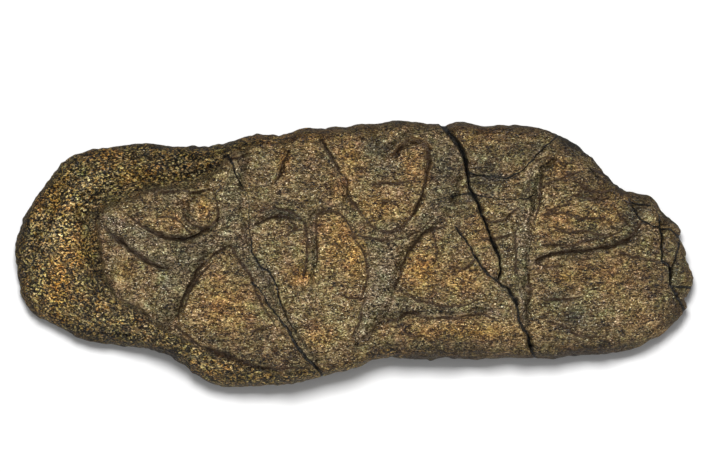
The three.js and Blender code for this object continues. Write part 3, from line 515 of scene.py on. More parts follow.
def lattice_noise(place: np.ndarray, size: float, seed: int) -> np.ndarray:
    """Gradient noise between about -1 and 1, from hashed directions on a cubic lattice.

    Args:
        place: Points, shape (n, 3), in millimetres.
        size: Spacing of the lattice in millimetres.
        seed: Picks one pattern out of many.

    Returns:
        One value per point: the corners' slopes, blended with the quintic fade.
    """
    lattice_gain = 1.6
    scaled = place / size
    cell = np.floor(scaled).astype(np.int64)
    part = scaled - cell
    fade = part ** 3 * (part * (part * 6 - 15) + 10)
    total = np.zeros(len(place))
    for corner in np.ndindex(2, 2, 2):
        offset = np.array(corner)
        picked = hashed(cell + offset, seed)
        height = picked[:, 0] * 2 - 1
        turn = picked[:, 1] * 2 * math.pi
        flat = np.sqrt(1 - height * height)
        slope = np.column_stack([flat * np.cos(turn), flat * np.sin(turn), height])
        weight = np.prod(np.where(offset, fade, 1 - fade), axis=1)
        total += weight * np.sum(slope * (part - offset), axis=1)
    return total * lattice_gain


def hashed(cell: np.ndarray, seed: int) -> np.ndarray:
    """Even random numbers from the mixed bits of whole-number cells.

    Args:
        cell: Whole-number places, shape (n, 3).
        seed: Picks one pattern out of many.

    Returns:
        Three numbers in 0 to 1 for each cell.
    """
    mixed = cell.astype(np.uint64) * np.array(HASH_PRIMES, np.uint64)
    state = mixed[:, 0] ^ mixed[:, 1] ^ mixed[:, 2] ^ np.uint64(seed * HASH_SEED_FACTOR % 2 ** 32)
    picked = []
    for turn in HASH_TURNS:
        state = (state ^ (state >> np.uint64(turn))) * np.uint64(HASH_FACTOR)
        picked.append((state >> np.uint64(40)).astype(float) / 2 ** 24)
    return np.column_stack(picked)


def cell_distance(place: np.ndarray, size: float, seed: int) -> np.ndarray:
    """Distance to the nearest of scattered points, one in each cell of a cubic lattice.

    Args:
        place: Points, shape (n, 3), in millimetres.
        size: Side of a cell in millimetres.
        seed: Picks one pattern out of many.

    Returns:
        The distance from each point, in cell sizes.
    """
    scaled = place / size
    cell = np.floor(scaled).astype(np.int64)
    nearest = np.full(len(place), FAR)
    for step in np.ndindex(3, 3, 3):
        beside = cell + np.array(step) - 1
        gap = beside + hashed(beside, seed) - scaled
        np.minimum(nearest, np.sum(gap * gap, axis=1), out=nearest)
    return np.sqrt(nearest)


def fractal_noise(place: np.ndarray, size: float, octaves: int, seed: int) -> np.ndarray:
    """Sum of lattice noises, each at half the size and half the height of the one before."""
    return sum(lattice_noise(place, size / 2 ** i, seed + i) / 2 ** i for i in range(octaves))


def in_space(place: np.ndarray) -> np.ndarray:
    """Places from above as points at height 0."""
    return np.column_stack([place, np.zeros(len(place))])


def wandered(place: np.ndarray, layer: NoiseLayer) -> np.ndarray:
    """Places moved sideways by noise, so that what is drawn there wavers.

    Args:
        place: Places from above.
        layer: The noise, whose height is the reach; the second direction takes a later seed.

    Returns:
        The moved places.
    """
    spot = in_space(place)
    seeds = (layer.seed, layer.seed + 9)
    shift = [fractal_noise(spot, layer.size, layer.octaves, seed) for seed in seeds]
    return place + layer.height * np.column_stack(shift)


@dataclass
class SlabOutline:
    """The slab's outline from above, as a radius at each angle about the middle."""

    points: Points = OUTLINE
    samples_per_point: int = 12
    turn_span: float = 9.0
    angles: np.ndarray = field(init=False)
    radii: np.ndarray = field(init=False)
    line: np.ndarray = field(init=False)

    def __post_init__(self) -> None:
        """Sorts the outline's samples by angle."""
        self.line = smooth_path(self.points, True, self.samples_per_point)
        angle = np.arctan2(self.line[:, 1], self.line[:, 0])
        order = np.argsort(angle)
        self.angles = angle[order]
        self.radii = np.hypot(self.line[:, 0], self.line[:, 1])[order]

    def point(self, angle: np.ndarray) -> np.ndarray:
        """Places on the outline at the given angles about the middle."""
        radius = np.interp(angle, self.angles, self.radii, period=2 * math.pi)
        return np.stack([radius * np.cos(angle), radius * np.sin(angle)], axis=-1)

    def outward(self, angle: np.ndarray) -> np.ndarray:
        """Outward directions: the chord over a short stretch of the outline, turned by 90°.

        Args:
            angle: Angles about the middle.

        Returns:
            One unit direction for each angle.
        """
        span = self.turn_span / np.linalg.norm(self.point(angle), axis=-1)
        chord = self.point(angle + span) - self.point(angle - span)
        chord = chord / np.linalg.norm(chord, axis=-1, keepdims=True)
        return np.stack([chord[..., 1], -chord[..., 0]], axis=-1)

    def inset(self, angle: np.ndarray, distance: np.ndarray | float) -> np.ndarray:
        """Places at a distance inside the outline."""
        return self.point(angle) - self.outward(angle) * np.asarray(distance)[..., None]


@dataclass
class FrillFace:
    """The grooved upper face: its height, and the distances that its relief and its colours come from."""

    outline: SlabOutline
    mid_thickness: float = 25.5
    thinning: float = 0.035
    thinning_curve: float = 0.00028
    edge_inset: float = 4.0
    edge_reach: float = 9.0
    edge_drop: float = 3.0
    groove_wall: float = 2.1
    brow_height: float = 0.6
    brow_middle: float = 0.9
    brow_spread: float = 1.3
    lump_fade: tuple[float, float] = (0.4, 1.2)
    ledge_step: float = 2.6
    ledge_wall: tuple[float, float] = (-0.48, 1.12)
    ledge_closing: Points = ((60, -90), (190, -90), (190, 90), (-10, 90))
    worn_rim_share: float = 0.52
    worn_reach: float = 15.0
    least_run: float = 0.01
    first_fall: tuple[float, float] = (0.0, 0.36)
    second_fall: tuple[float, float] = (0.6, 1.02)
    crumbly_span: tuple[float, float] = (100.0, 129.0)
    crumble: NoiseLayer = NoiseLayer(1.3, 6.0, 3, 31)
    groove_waver: NoiseLayer = NoiseLayer(0.7, 7.0, 2, 61)
    ledge_waver: NoiseLayer = NoiseLayer(0.7, 5.0, 2, 11)
    wide_swell: NoiseLayer = NoiseLayer(0.6, 26.0, 1, 3)
    small_swell: NoiseLayer = NoiseLayer(0.3, 9.0, 1, 5, (1.0, 1.6, 1.0))
    grooves: list = field(init=False)
    ledge: np.ndarray = field(init=False)

    def __post_init__(self) -> None:
        """Smooths the strokes once."""
        self.grooves = [(stroke.depth, smooth_path(stroke.path, False, 4)) for stroke in GROOVES]
        self.ledge = smooth_path(LEDGE, False, 6)

    def crown(self, x: np.ndarray) -> np.ndarray:
        """Height of the unworn face: thickest at the left, falling along a shallow parabola."""
        return self.mid_thickness - self.thinning * x - self.thinning_curve * x * x

    def beyond_ledge(self, place: np.ndarray) -> np.ndarray:
        """Distance out from the ledge over the worn bone.

        The sign comes from counting how often a ray to the right crosses the ledge, closed far to the right.

        Args:
            place: Places from above.

        Returns:
            The distances, negative on the outer bone.
        """
        away = strip_distance(place, self.ledge)
        corners = np.vstack([self.ledge, self.ledge_closing])
        ends = np.roll(corners, -1, axis=0)
        crossings = np.zeros(len(place), int)
        x, y = place.T
        for a, b in zip(corners, ends):
            spans = (a[1] > y) != (b[1] > y)
            rise = b[1] - a[1]
            meets = a[0] + (y - a[1]) * (b[0] - a[0]) / (rise if abs(rise) > TINY else TINY)
            crossings += spans & (x < meets)
        return np.where(crossings % 2 == 1, -away, away)

    def groove_relief(self, place: np.ndarray) -> tuple[np.ndarray, np.ndarray]:
        """How deep the grooves cut: each its depth times a smooth step across its wall, the deepest counting.

        Args:
            place: Places from above, which are wandered a little so that the walls aren't drawn too evenly.

        Returns:
            The cut, and the signed distance to the nearest groove.
        """
        place = wandered(place, self.groove_waver)
        cut = np.zeros(len(place))
        nearest = np.full(len(place), BEYOND)
        for depth, path in self.grooves:
            away = strip_distance(place, path)
            np.maximum(cut, depth * smoothstep(0.0, self.groove_wall, -away), out=cut)
            np.minimum(nearest, away, out=nearest)
        return cut, nearest

    def outer_height(self, place: np.ndarray, to_edge: np.ndarray) -> tuple[np.ndarray, np.ndarray]:
        """Height of the outer bone: the crown, less its rounded edge and its grooves.

        A low brow runs along the grooves' rims, lumps stand between them, and the right end is crumbly.

        Args:
            place: Places from above.
            to_edge: How far inside the outline each lies.

        Returns:
            The height, and the signed distance to the nearest groove.
        """
        x, y = place.T
        cut, nearest = self.groove_relief(place)
        brow = self.brow_height * np.exp(-(((nearest - self.brow_middle) / self.brow_spread) ** 2))
        lump = np.zeros(len(x))
        for cx, cy, radius, height in LUMPS:
            away = np.hypot(x - cx, y - cy) / radius
            np.maximum(lump, height * (1 - smoothstep(*self.lump_fade, away)), out=lump)
        crumbs = smoothstep(*self.crumbly_span, x) * self.crumble.at(in_space(place))
        drop = self.edge_drop * (1 - smoothstep(0.0, self.edge_reach, to_edge))
        kept = lump * (1 - smoothstep(0.0, 1.0, cut))
        return self.crown(x) - drop - cut + brow + kept + crumbs, nearest

    def worn_height(self, place: np.ndarray, to_edge: np.ndarray, from_ledge: np.ndarray) -> np.ndarray:
        """Height of the worn bone: a step below the ledge, a hollow bench, then a fall to the rim.

        The share of the way from ledge to rim sets the fall, and a narrow stretch falls less.

        Args:
            place: Places from above.
            to_edge: How far inside the outline each lies.
            from_ledge: How far out from the ledge each lies.

        Returns:
            The height at each place.
        """
        crown = self.crown(place[:, 0])
        run = from_ledge + np.maximum(to_edge - self.edge_inset, 0)
        share = from_ledge / (run + self.least_run)
        room = np.minimum(1.0, run / self.worn_reach)
        fall = (smoothstep(*self.first_fall, share) + smoothstep(*self.second_fall, share)) / 2
        foot = crown - self.ledge_step * room - self.edge_drop * (1 - room)
        return foot - fall * room * (foot - crown * self.worn_rim_share)

    def height(self, place: np.ndarray) -> dict[str, np.ndarray]:
        """Height of the whole upper face, with the distances kept for the colours.

        Args:
            place: Places from above, shape (n, 2).

        Returns:
            height, the signed distances groove and worn, and the distance in from the edge.
        """
        spot = in_space(place)
        to_edge = strip_distance(place, self.outline.line, True)
        beyond = self.beyond_ledge(place) + self.ledge_waver.at(spot)
        worn = smoothstep(*self.ledge_wall, beyond)
        kept, nearest = self.outer_height(place, to_edge)
        lowered = self.worn_height(place, to_edge, np.maximum(beyond, 0))
        swell = self.wide_swell.at(spot) + self.small_swell.at(spot)
        height = kept + (lowered - kept) * worn + swell
        return {"height": height, "groove": nearest, "worn": beyond, "edge": to_edge}


@dataclass
class FossilSlab:
    """The slab as one closed mesh: a fine grid above, rings round the edge and a coarser grid below."""

    outline: SlabOutline
    face: FrillFace
    name: str = "frill_section_bone"
    half_length: float = 129.0
    half_width: float = 50.5
    cells_long: int = 420
    cells_across: int = 168
    rim_share: float = 0.42
    edge_turns: tuple[float, ...] = (72, 54, 36, 18, 0, -30, -60)
    under_inset: float = 9.0
    under_rise: float = 3.2
    under_rise_end: float = 1.05
    flat_spot_share: float = 0.42
    rough_from_share: float = 0.6
    ring_groove_gap: float = 1.5
    ring_worn_gap: float = 3.0
    under_worn: float = -6.0
    under_patches: NoiseLayer = NoiseLayer(5.0, 34.0, 3, 47)
    channel_wall: float = 2.4
    channel_depth: float = 0.9
    rim_cut: float = 0.15
    upright_fade: tuple[float, float] = (0.25, 0.6)
    crease_soft: float = 0.5
    crack_soft: float = 0.45
    crease_waver: NoiseLayer = NoiseLayer(0.5, 4.0, 2, 71)
    crack_waver: NoiseLayer = NoiseLayer(0.45, 3.4, 2, 83)
    worn_fade: tuple[float, float] = (-0.5, 1.5)
    cell_size: float = 2.6
    cell_stretch: Triple = (0.8, 1.0, 1.0)
    cell_seed: int = 7
    knob_height: float = 0.55
    knob_noise: NoiseLayer = NoiseLayer(0.5, 4.2, 2, 23)
    fibres: NoiseLayer = NoiseLayer(0.34, 2.6, 2, 13, (0.2, 1.0, 1.0))
    small_lumps: NoiseLayer = NoiseLayer(0.92, 8.0, 4, 17, (0.7, 1.0, 1.0))
    tint_edge: float = 1.1

    def grid_places(self, long: int, across: int, inset: float) -> tuple[np.ndarray, np.ndarray]:
        """Carries a square grid onto the slab.

        The square becomes a disc by u = s·√(1 - t²/2) and v = t·√(1 - s²/2), and the disc an oval that turns
        into the inset outline by the square of the share of the way out.

        Args:
            long: Cells along the slab.
            across: Cells across it.
            inset: How far inside the outline the grid ends.

        Returns:
            Places, shape (across + 1, long + 1, 2), and the angle of each about the middle.
        """
        s, t = np.meshgrid(np.linspace(-1, 1, long + 1), np.linspace(-1, 1, across + 1))
        u = s * np.sqrt(1 - t * t / 2)
        v = t * np.sqrt(1 - s * s / 2)
        share = np.minimum(1.0, np.hypot(u, v))[..., None]
        angle = np.arctan2(v * self.half_width, u * self.half_length)
        oval = np.stack([u * (self.half_length - inset), v * (self.half_width - inset)], axis=-1)
        end = self.outline.inset(angle, inset) * share
        return oval + (end - oval) * share ** 2, angle

    @staticmethod
    def rim_of(grid: np.ndarray) -> np.ndarray:
        """The grid's border in order, anticlockwise from its lower left corner."""
        return np.concatenate([grid[0, :-1], grid[:-1, -1], grid[-1, :0:-1], grid[:0:-1, 0]])

    @staticmethod
    def grid_faces(index: np.ndarray, upwards: bool) -> np.ndarray:
        """Quads of a grid of vertex numbers, facing up or down."""
        corners = [index[:-1, :-1], index[:-1, 1:], index[1:, 1:], index[1:, :-1]]
        quads = np.stack(corners, axis=-1).reshape(-1, 4)
        return quads if upwards else quads[:, ::-1]

    @staticmethod
    def ring_faces(upper: np.ndarray, lower: np.ndarray) -> np.ndarray:
        """Quads between two rings of the same count."""
        return np.stack([upper, lower, np.roll(lower, -1), np.roll(upper, -1)], axis=-1)

    def edge_ring(self, turn: float, angle: np.ndarray, shoulder: np.ndarray) -> np.ndarray:
        """One ring round the edge, on a quarter oval above the rim's line or one below it.

        Args:
            turn: Degrees up from level, from 90 at the shoulder to -90 under the rim.
            angle: Angle of each place about the middle.
            shoulder: Height of the upper face where the ring starts.

        Returns:
            Points, shape (n, 3).
        """
        swing = math.radians(turn)
        inset = (self.face.edge_inset if turn > 0 else self.under_inset) * (1 - math.cos(swing))
        place = self.outline.inset(angle, inset)
        level = shoulder * self.rim_share
        reach = shoulder - level if turn > 0 else level - self.under_rise
        return np.column_stack([place, level + reach * math.sin(swing)])

    def under_height(self, place: np.ndarray, angle: np.ndarray) -> np.ndarray:
        """Height of the hidden face: flat on the resting spot, then a shallow rise to the edge."""
        reach = np.linalg.norm(self.outline.inset(angle, self.under_inset), axis=-1)
        share = np.linalg.norm(place, axis=-1) / reach
        return self.under_rise * smoothstep(self.flat_spot_share, self.under_rise_end, share)

    def surface(self) -> tuple[np.ndarray, list[np.ndarray], dict[str, np.ndarray]]:
        """Lays out the whole surface before its fine relief.

        Returns:
            Points, faces as arrays of quads and triangles, and the distances kept for relief and colour.
        """
        places, angles = self.grid_places(self.cells_long, self.cells_across, self.face.edge_inset)
        flat = places.reshape(-1, 2)
        top = self.face.height(flat)
        points = [np.column_stack([flat, top["height"]])]
        index = np.arange(len(flat)).reshape(angles.shape)
        faces = [self.grid_faces(index, True)]
        upper = rim = self.rim_of(index)
        angle = angles.reshape(-1)[rim]
        fields = {key: [top[key]] for key in ("groove", "worn", "edge")}
        count = len(flat)
        for step, turn in enumerate(self.edge_turns):
            ring = self.edge_ring(turn, angle, top["height"][rim])
            lower = count + np.arange(len(ring))
            faces.append(self.ring_faces(upper, lower))
            points.append(ring)
            fields["groove"].append(top["groove"][rim] + self.ring_groove_gap * (step + 1))
            fields["worn"].append(top["worn"][rim] + self.ring_worn_gap * (step + 1))
            fields["edge"].append(np.full(len(ring), -float(step)))
            count += len(ring)
            upper = lower
        below, below_angles = self.grid_places(self.cells_long // 2, self.cells_across // 2, self.under_inset)
        below_flat = below.reshape(-1, 2)
        height = self.under_height(below_flat, below_angles.reshape(-1))
        points.append(np.column_stack([below_flat, height]))
        below_index = count + np.arange(len(below_flat)).reshape(below_angles.shape)
        faces.append(self.grid_faces(below_index, False))
        coarse = self.rim_of(below_index)
        first, middle, last = upper[0::2], upper[1::2], np.roll(upper, -2)[0::2]
        after = np.roll(coarse, -1)
        for triangle in ((first, coarse, middle), (middle, coarse, after), (middle, after, last)):
            faces.append(np.stack(triangle, axis=-1))
        channels = [smooth_path(stroke.path, False, 8) for stroke in UNDER_GROOVES]
        fields["groove"].append(np.min([strip_distance(below_flat, path) for path in channels], axis=0))
        fields["worn"].append(self.under_worn + self.under_patches.at(points[-1]))
        fields["edge"].append(np.full(len(below_flat), -float(len(self.edge_turns))))
        joined = {key: np.concatenate(parts) for key, parts in fields.items()}
        joined["below"] = np.arange(count + len(below_flat)) >= count
        return np.concatenate(points), faces, joined

    @staticmethod
    def normals(points: np.ndarray, faces: list[np.ndarray]) -> np.ndarray:
        """Outward directions: each face's cross product of diagonals or edges, summed at its corners.

        Args:
            points: The points, shape (n, 3).
            faces: Arrays of quads and triangles.

        Returns:
            One unit direction per point.
        """
        total = np.zeros_like(points)
        for block in faces:
            across = points[block[:, 2]] - points[block[:, 0]]
            along = points[block[:, -1]] - points[block[:, 1]]
            normal = np.cross(across, along)
            for corner in block.T:
                np.add.at(total, corner, normal)
        return total / np.maximum(np.linalg.norm(total, axis=1, keepdims=True), TINY)

    @staticmethod
    def cut_of(place: np.ndarray, strokes: tuple[Stroke, ...], soft: float) -> tuple[np.ndarray, ...]:
        """Depth cut by narrow strokes, and the distances to the nearest of them.

        Args:
            place: Places from above.
            strokes: The strokes.
            soft: How far beyond its strip a stroke still cuts.

        Returns:
            The deepest cut, which each stroke makes with a smooth bowl across its strip, the signed distance
            to the strip, and the distance across its middle line in half widths.
        """
        bowl_floor = -0.9
        cut = np.zeros(len(place))
        nearest = np.full(len(place), FAR)
        across = np.full(len(place), FAR)
        for stroke in strokes:
            away, side = line_distances(place, smooth_path(stroke.path, False, 3))
            np.maximum(cut, stroke.depth * (1 - smoothstep(bowl_floor, soft, away)), out=cut)
            across = np.where(away < nearest, side, across)
            nearest = np.minimum(nearest, away)
        return cut, nearest, across

    def roughen(self, points: np.ndarray, outward: np.ndarray, fields: dict[str, np.ndarray]) -> np.ndarray:
        """Fine relief and cuts, as a move of each point in millimetres.

        Fibres run along the slab, and the worn bone has pits and small knobs from the distance to scattered
        points; both move a point along the surface's own direction. Creases and cracks cut straight down
        where the surface faces up, so that their floors stay in sight from above, and inwards elsewhere. The
        flat spot below keeps its level.

        Args:
            points: The points, shape (n, 3).
            outward: The surface's direction at each.
            fields: What is known of each point; the distances to creases and cracks are added.

        Returns:
            The moves, shape (n, 3).
        """
        place = points[:, :2]
        upright = outward[:, 2]
        below = fields["below"]
        crack_place = wandered(place, self.crack_waver)
        crease_place = wandered(place, self.crease_waver)
        crease, crease_away, crease_across = self.cut_of(crease_place, CREASES, self.crease_soft)
        crack, crack_away, crack_across = self.cut_of(crack_place, CRACKS, self.crack_soft)
        under_crack, under_away, under_across = self.cut_of(crack_place, UNDER_CRACKS, self.crease_soft)
        crease = np.where(below, 0.0, crease)
        crack = np.where(below, under_crack, crack) * (self.rim_cut + (1 - self.rim_cut) * upright ** 2)
        fields["crease"] = np.where(below, FAR, crease_away)
        fields["crease_across"] = np.where(below, FAR, crease_across)
        fields["crack"] = np.where(below, under_away, crack_away)
        fields["crack_across"] = np.where(below, under_across, crack_across)
        wall = smoothstep(0.0, self.channel_wall, -fields["groove"])
        channel = np.where(below, self.channel_depth * wall, 0.0)
        worn = smoothstep(*self.worn_fade, fields["worn"])
        cells = cell_distance(points * self.cell_stretch, self.cell_size, self.cell_seed)
        knobs = self.knob_height * (self.knob_height - cells) + self.knob_noise.at(points)
        bone = self.fibres.at(points) + self.small_lumps.at(points)
        fine = bone * (1 - worn) + knobs * worn
        reach = np.linalg.norm(place / [self.half_length, self.half_width], axis=1)
        free = np.where(below, smoothstep(self.flat_spot_share, self.rough_from_share, reach), 1.0)
        share = smoothstep(*self.upright_fade, upright)[:, None]
        inward = outward * (1 - share) + np.array([0.0, 0.0, 1.0]) * share
        return outward * (fine * free)[:, None] - inward * ((crease + crack + channel) * free)[:, None]

    def tint_weights(self, points: np.ndarray) -> dict[Tint, np.ndarray]:
        """Weight of each tint at each point: the strongest of its ovals, each a smooth bell.

        Args:
            points: The points, shape (n, 3).

        Returns:
            One weight per point, by tint.
        """
        weights = {}
        for tint in Tint:
            weights[tint] = np.zeros(len(points))
            for x, y, long, across, strength in STAINS_AND_PAINTED_LIGHT[tint]:
                away = np.hypot((points[:, 0] - x) / long, (points[:, 1] - y) / across)
                bell = strength * np.exp(-self.tint_edge * away ** 2)
                np.maximum(weights[tint], bell, out=weights[tint])
        return weights

    def build(self) -> bpy.types.Object:
        """Makes the mesh, keeps its distances and the weights of its stains and painted shade and light as
        attributes, and links it into the scene.

        Returns:
            The slab, without a material.
        """
        points, faces, fields = self.surface()
        points = points + self.roughen(points, self.normals(points, faces), fields)
        points[:, 2] = np.maximum(points[:, 2], 0.0)
        corners = [tuple(face) for block in faces for face in block.tolist()]
        mesh = bpy.data.meshes.new(self.name)
        mesh.from_pydata((points * METRES_PER_MM).tolist(), [], corners)
        mesh.polygons.foreach_set("use_smooth", np.ones(len(mesh.polygons), bool))
        kept = {key: np.clip(fields[key], -FAR, FAR) for key in DISTANCES}
        kept.update({tint.name: weight for tint, weight in self.tint_weights(points).items()})
        for key, values in kept.items():
            layer = mesh.attributes.new(key, "FLOAT", "POINT")
            layer.data.foreach_set("value", values.astype(np.float32))
        mesh.validate()
        mesh.update()
        piece = bpy.data.objects.new(self.name, mesh)
        bpy.context.scene.collection.objects.link(piece)
        return piece


def linear(colour: tuple[int, int, int]) -> tuple[float, float, float, float]:
    """A screen colour of 0 to 255 as the linear colour that shaders take."""
    shares = [channel / 255 for channel in colour]
    values = [share / 12.92 if share <= 0.04045 else ((share + 0.055) / 1.055) ** 2.4 for share in shares]
    return (*values, 1.0)


@dataclass
class NodeBench:
    """Adds and joins shader nodes in one tree."""

    tree: bpy.types.NodeTree

    def add(self, kind: str, settings: dict[str, object] | None = None, **inputs: Value) -> bpy.types.Node:
        """Adds a node, sets its options, and fills or links its inputs.

        Args:
            kind: The node's type name.
            settings: Options, by attribute name.
            **inputs: Sockets by name, with _ for a space, or by number after a leading i. Each is a value or
                another node's output.

        Returns:
            The new node.
        """
        node = self.tree.nodes.new(kind)
        for key, value in (settings or {}).items():
            setattr(node, key, value)
        for key, value in inputs.items():
            name = int(key[1:]) if key[0] == "i" and key[1:].isdigit() else key.replace("_", " ")
            self.fill(node.inputs[name], value)
        return node

    def fill(self, socket: Socket, value: Value) -> None:
        """Links an output into a socket, or sets the socket's value."""
        if isinstance(value, bpy.types.NodeSocket):
            self.tree.links.new(value, socket)
        else:
            socket.default_value = value

    def fill_by_identifier(self, node: bpy.types.Node, values: dict[str, Value]) -> None:
        """Fills those inputs of a node that share their names with others, by identifier."""
        for socket in node.inputs:
            if socket.identifier in values:
                self.fill(socket, values[socket.identifier])

    def group(self, tree: bpy.types.ShaderNodeTree, **inputs: Value) -> bpy.types.Node:
        """Adds a node group and fills its inputs."""
        return self.add("ShaderNodeGroup", {"node_tree": tree}, **inputs)

    def mottled(self, tree: bpy.types.ShaderNodeTree, place: Socket, weights: Triple) -> Socket:
        """The mottling group's value, with weights for its streaks, blotches and flecks."""
        layers = dict(zip(("Streaks", "Blotches", "Flecks"), weights))
        return self.group(tree, Place=place, **layers).outputs["Value"]

    def attribute(self, name: str) -> Socket:
        """A number kept on the mesh's points."""
        return self.add("ShaderNodeAttribute", {"attribute_name": name}).outputs["Fac"]

    def math(self, operation: str, first: Value, second: Value = 0.0, third: Value = 0.0) -> Socket:
        """One Math node's result."""
        node = self.add("ShaderNodeMath", {"operation": operation}, i0=first, i1=second, i2=third)
        return node.outputs[0]

    def vector(self, operation: str, first: Value, second: Value) -> Socket:
        """One Vector Math node's result; SCALE takes a single number as its second value."""
        names = ("i0", "Scale") if operation == "SCALE" else ("i0", "i1")
        inputs = dict(zip(names, (first, second)))
        return self.add("ShaderNodeVectorMath", {"operation": operation}, **inputs).outputs[0]

    def centred(self, value: Value) -> Socket:
        """A value of 0 to 1, moved to lie about 0."""
        return self.math("SUBTRACT", value, 0.5)

    def weighted(self, parts: tuple[tuple[Value, float], ...], start: Value = 0.0) -> Value:
        """Values times their weights, added to a start."""
        for value, weight in parts:
            start = self.math("MULTIPLY_ADD", value, weight, start)
        return start

    def step(self, value: Value, rise: Rise) -> Socket:
        """A value carried through a rise."""
        span = {"i1": rise.low, "i2": rise.high, "i3": rise.start, "i4": rise.end}
        settings = {"interpolation_type": "SMOOTHSTEP"}
        return self.add("ShaderNodeMapRange", settings, i0=value, **span).outputs[0]

    def blend(self, share: Value, first: Value, second: Value, mode: str = "MIX") -> Socket:
        """Two colours mixed by a share.

        Args:
            share: 0 for the first colour, 1 for the second laid over it.
            first: The lower colour.
            second: The upper colour.
            mode: How the second is laid over the first.

        Returns:
            The mixed colour.
        """
        settings = {"data_type": "RGBA", "blend_type": mode, "clamp_factor": True}
        node = self.add("ShaderNodeMix", settings)
        self.fill_by_identifier(node, {"Factor_Float": share, "A_Color": first, "B_Color": second})
        return next(each for each in node.outputs if each.identifier == "Result_Color")

    def tinted(self, share: Value, colour: Value, factors: Triple) -> Socket:
        """A colour multiplied by a tint, by a share."""
        return self.blend(share, colour, (*factors, 1.0), "MULTIPLY")

    def between(self, share: Value, first: Value, second: Value) -> Socket:
        """Two numbers mixed by a share."""
        return self.add("ShaderNodeMix", {"data_type": "FLOAT"}, i0=share, i2=first, i3=second).outputs[0]

    def noise(self, place: Value, pattern: Pattern) -> Socket:
        """Fractal noise of a place, between 0 and 1.

        Args:
            place: Where, in millimetres.
            pattern: Which noise.

        Returns:
            Its value.
        """
        spot = place if pattern.stretch == UNSTRETCHED else self.stretch(place, pattern.stretch)
        node = self.add(
            "ShaderNodeTexNoise", {"noise_dimensions": "3D"}, Vector=spot, Scale=pattern.scale,
            Detail=pattern.detail, Roughness=pattern.roughness, Distortion=pattern.warp,
        )
        return node.outputs[0]

    def cells(self, place: Value, scale: Value) -> bpy.types.Node:
        """Scattered points: the distance to the nearest, in cell sizes, and its random colour."""
        settings = {"voronoi_dimensions": "3D", "feature": "F1"}
        return self.add("ShaderNodeTexVoronoi", settings, Vector=place, Scale=scale)

    def stretch(self, place: Value, factors: Triple) -> Socket:
        """A place with each direction scaled."""
        return self.vector("MULTIPLY", place, factors)

    def ramp(self, value: Value, stops: Stops) -> Socket:
        """A colour ramp.

        Args:
            value: The place on the ramp, from 0 to 1.
            stops: Positions with their screen colours.

        Returns:
            The colour there.
        """
        node = self.add("ShaderNodeValToRGB", None, i0=value)
        elements = node.color_ramp.elements
        while len(elements) < len(stops):
            elements.new(0.5)
        for element, (position, colour) in zip(elements, stops):
            element.position = position
            element.color = linear(colour)
        return node.outputs[0]


def socketed_group(name: str, inputs: tuple[str, ...], outputs: dict[str, str]) -> NodeBench:
    """A shader node group with named sockets.

    Args:
        name: The group's name.
        inputs: Names of inputs; Place is a vector, and the others are numbers.
        outputs: Socket kinds by name.

    Returns:
        A bench on the group's tree, with its input and output nodes added.
    """
    tree = bpy.data.node_groups.new(name, "ShaderNodeTree")
    for label in inputs:
        kind = "NodeSocketVector" if label == "Place" else "NodeSocketFloat"
        tree.interface.new_socket(label, in_out="INPUT", socket_type=kind)
    for label, kind in outputs.items():
        tree.interface.new_socket(label, in_out="OUTPUT", socket_type=kind)
    tree.nodes.new("NodeGroupInput")
    tree.nodes.new("NodeGroupOutput")
    return NodeBench(tree)


def hand_out(bench: NodeBench, results: dict[str, Value]) -> bpy.types.ShaderNodeTree:
    """Links results to a group's outputs, by name, and returns the group."""
    for name, value in results.items():
        bench.fill(bench.tree.nodes["Group Output"].inputs[name], value)
    return bench.tree


def warp_group() -> bpy.types.ShaderNodeTree:
    """A place moved by coloured noise, so that what is drawn there loses its regular shape.

    Returns:
        The group, with inputs Place, Scale and Reach.
    """
    bench = socketed_group("wandered place", ("Place", "Scale", "Reach"), {"Place": "NodeSocketVector"})
    given = bench.tree.nodes["Group Input"].outputs
    noise = bench.add("ShaderNodeTexNoise", None, Vector=given["Place"], Scale=given["Scale"], Detail=2.0)
    swing = bench.vector("SUBTRACT", noise.outputs["Color"], (0.5,) * 3)
    moved = bench.vector("ADD", given["Place"], bench.vector("SCALE", swing, given["Reach"]))
    return hand_out(bench, {"Place": moved})


def mottle_group() -> bpy.types.ShaderNodeTree:
    """Mineral mottling: streaks along the bone's fibres, blotches and fine flecks, summed to one value.

    Returns:
        The group, with inputs Place and the weight of each.
    """
    patterns = {
        "Streaks": Pattern(1.0, 4.0, 0.6, 0.8, (0.3, 0.85, 0.85)),
        "Blotches": Pattern(0.14, 4.0, 0.62, 0.4),
        "Flecks": Pattern(1.35, 2.5, 0.7, 0.0, (0.8, 1.0, 1.0)),
    }
    bench = socketed_group("bone mottle", ("Place", *patterns), {"Value": "NodeSocketFloat"})
    given = bench.tree.nodes["Group Input"].outputs
    layers = {name: bench.centred(bench.noise(given["Place"], pattern)) for name, pattern in patterns.items()}
    total = bench.weighted(tuple((layer, given[name]) for name, layer in layers.items()), 0.5)
    return hand_out(bench, {"Value": total})


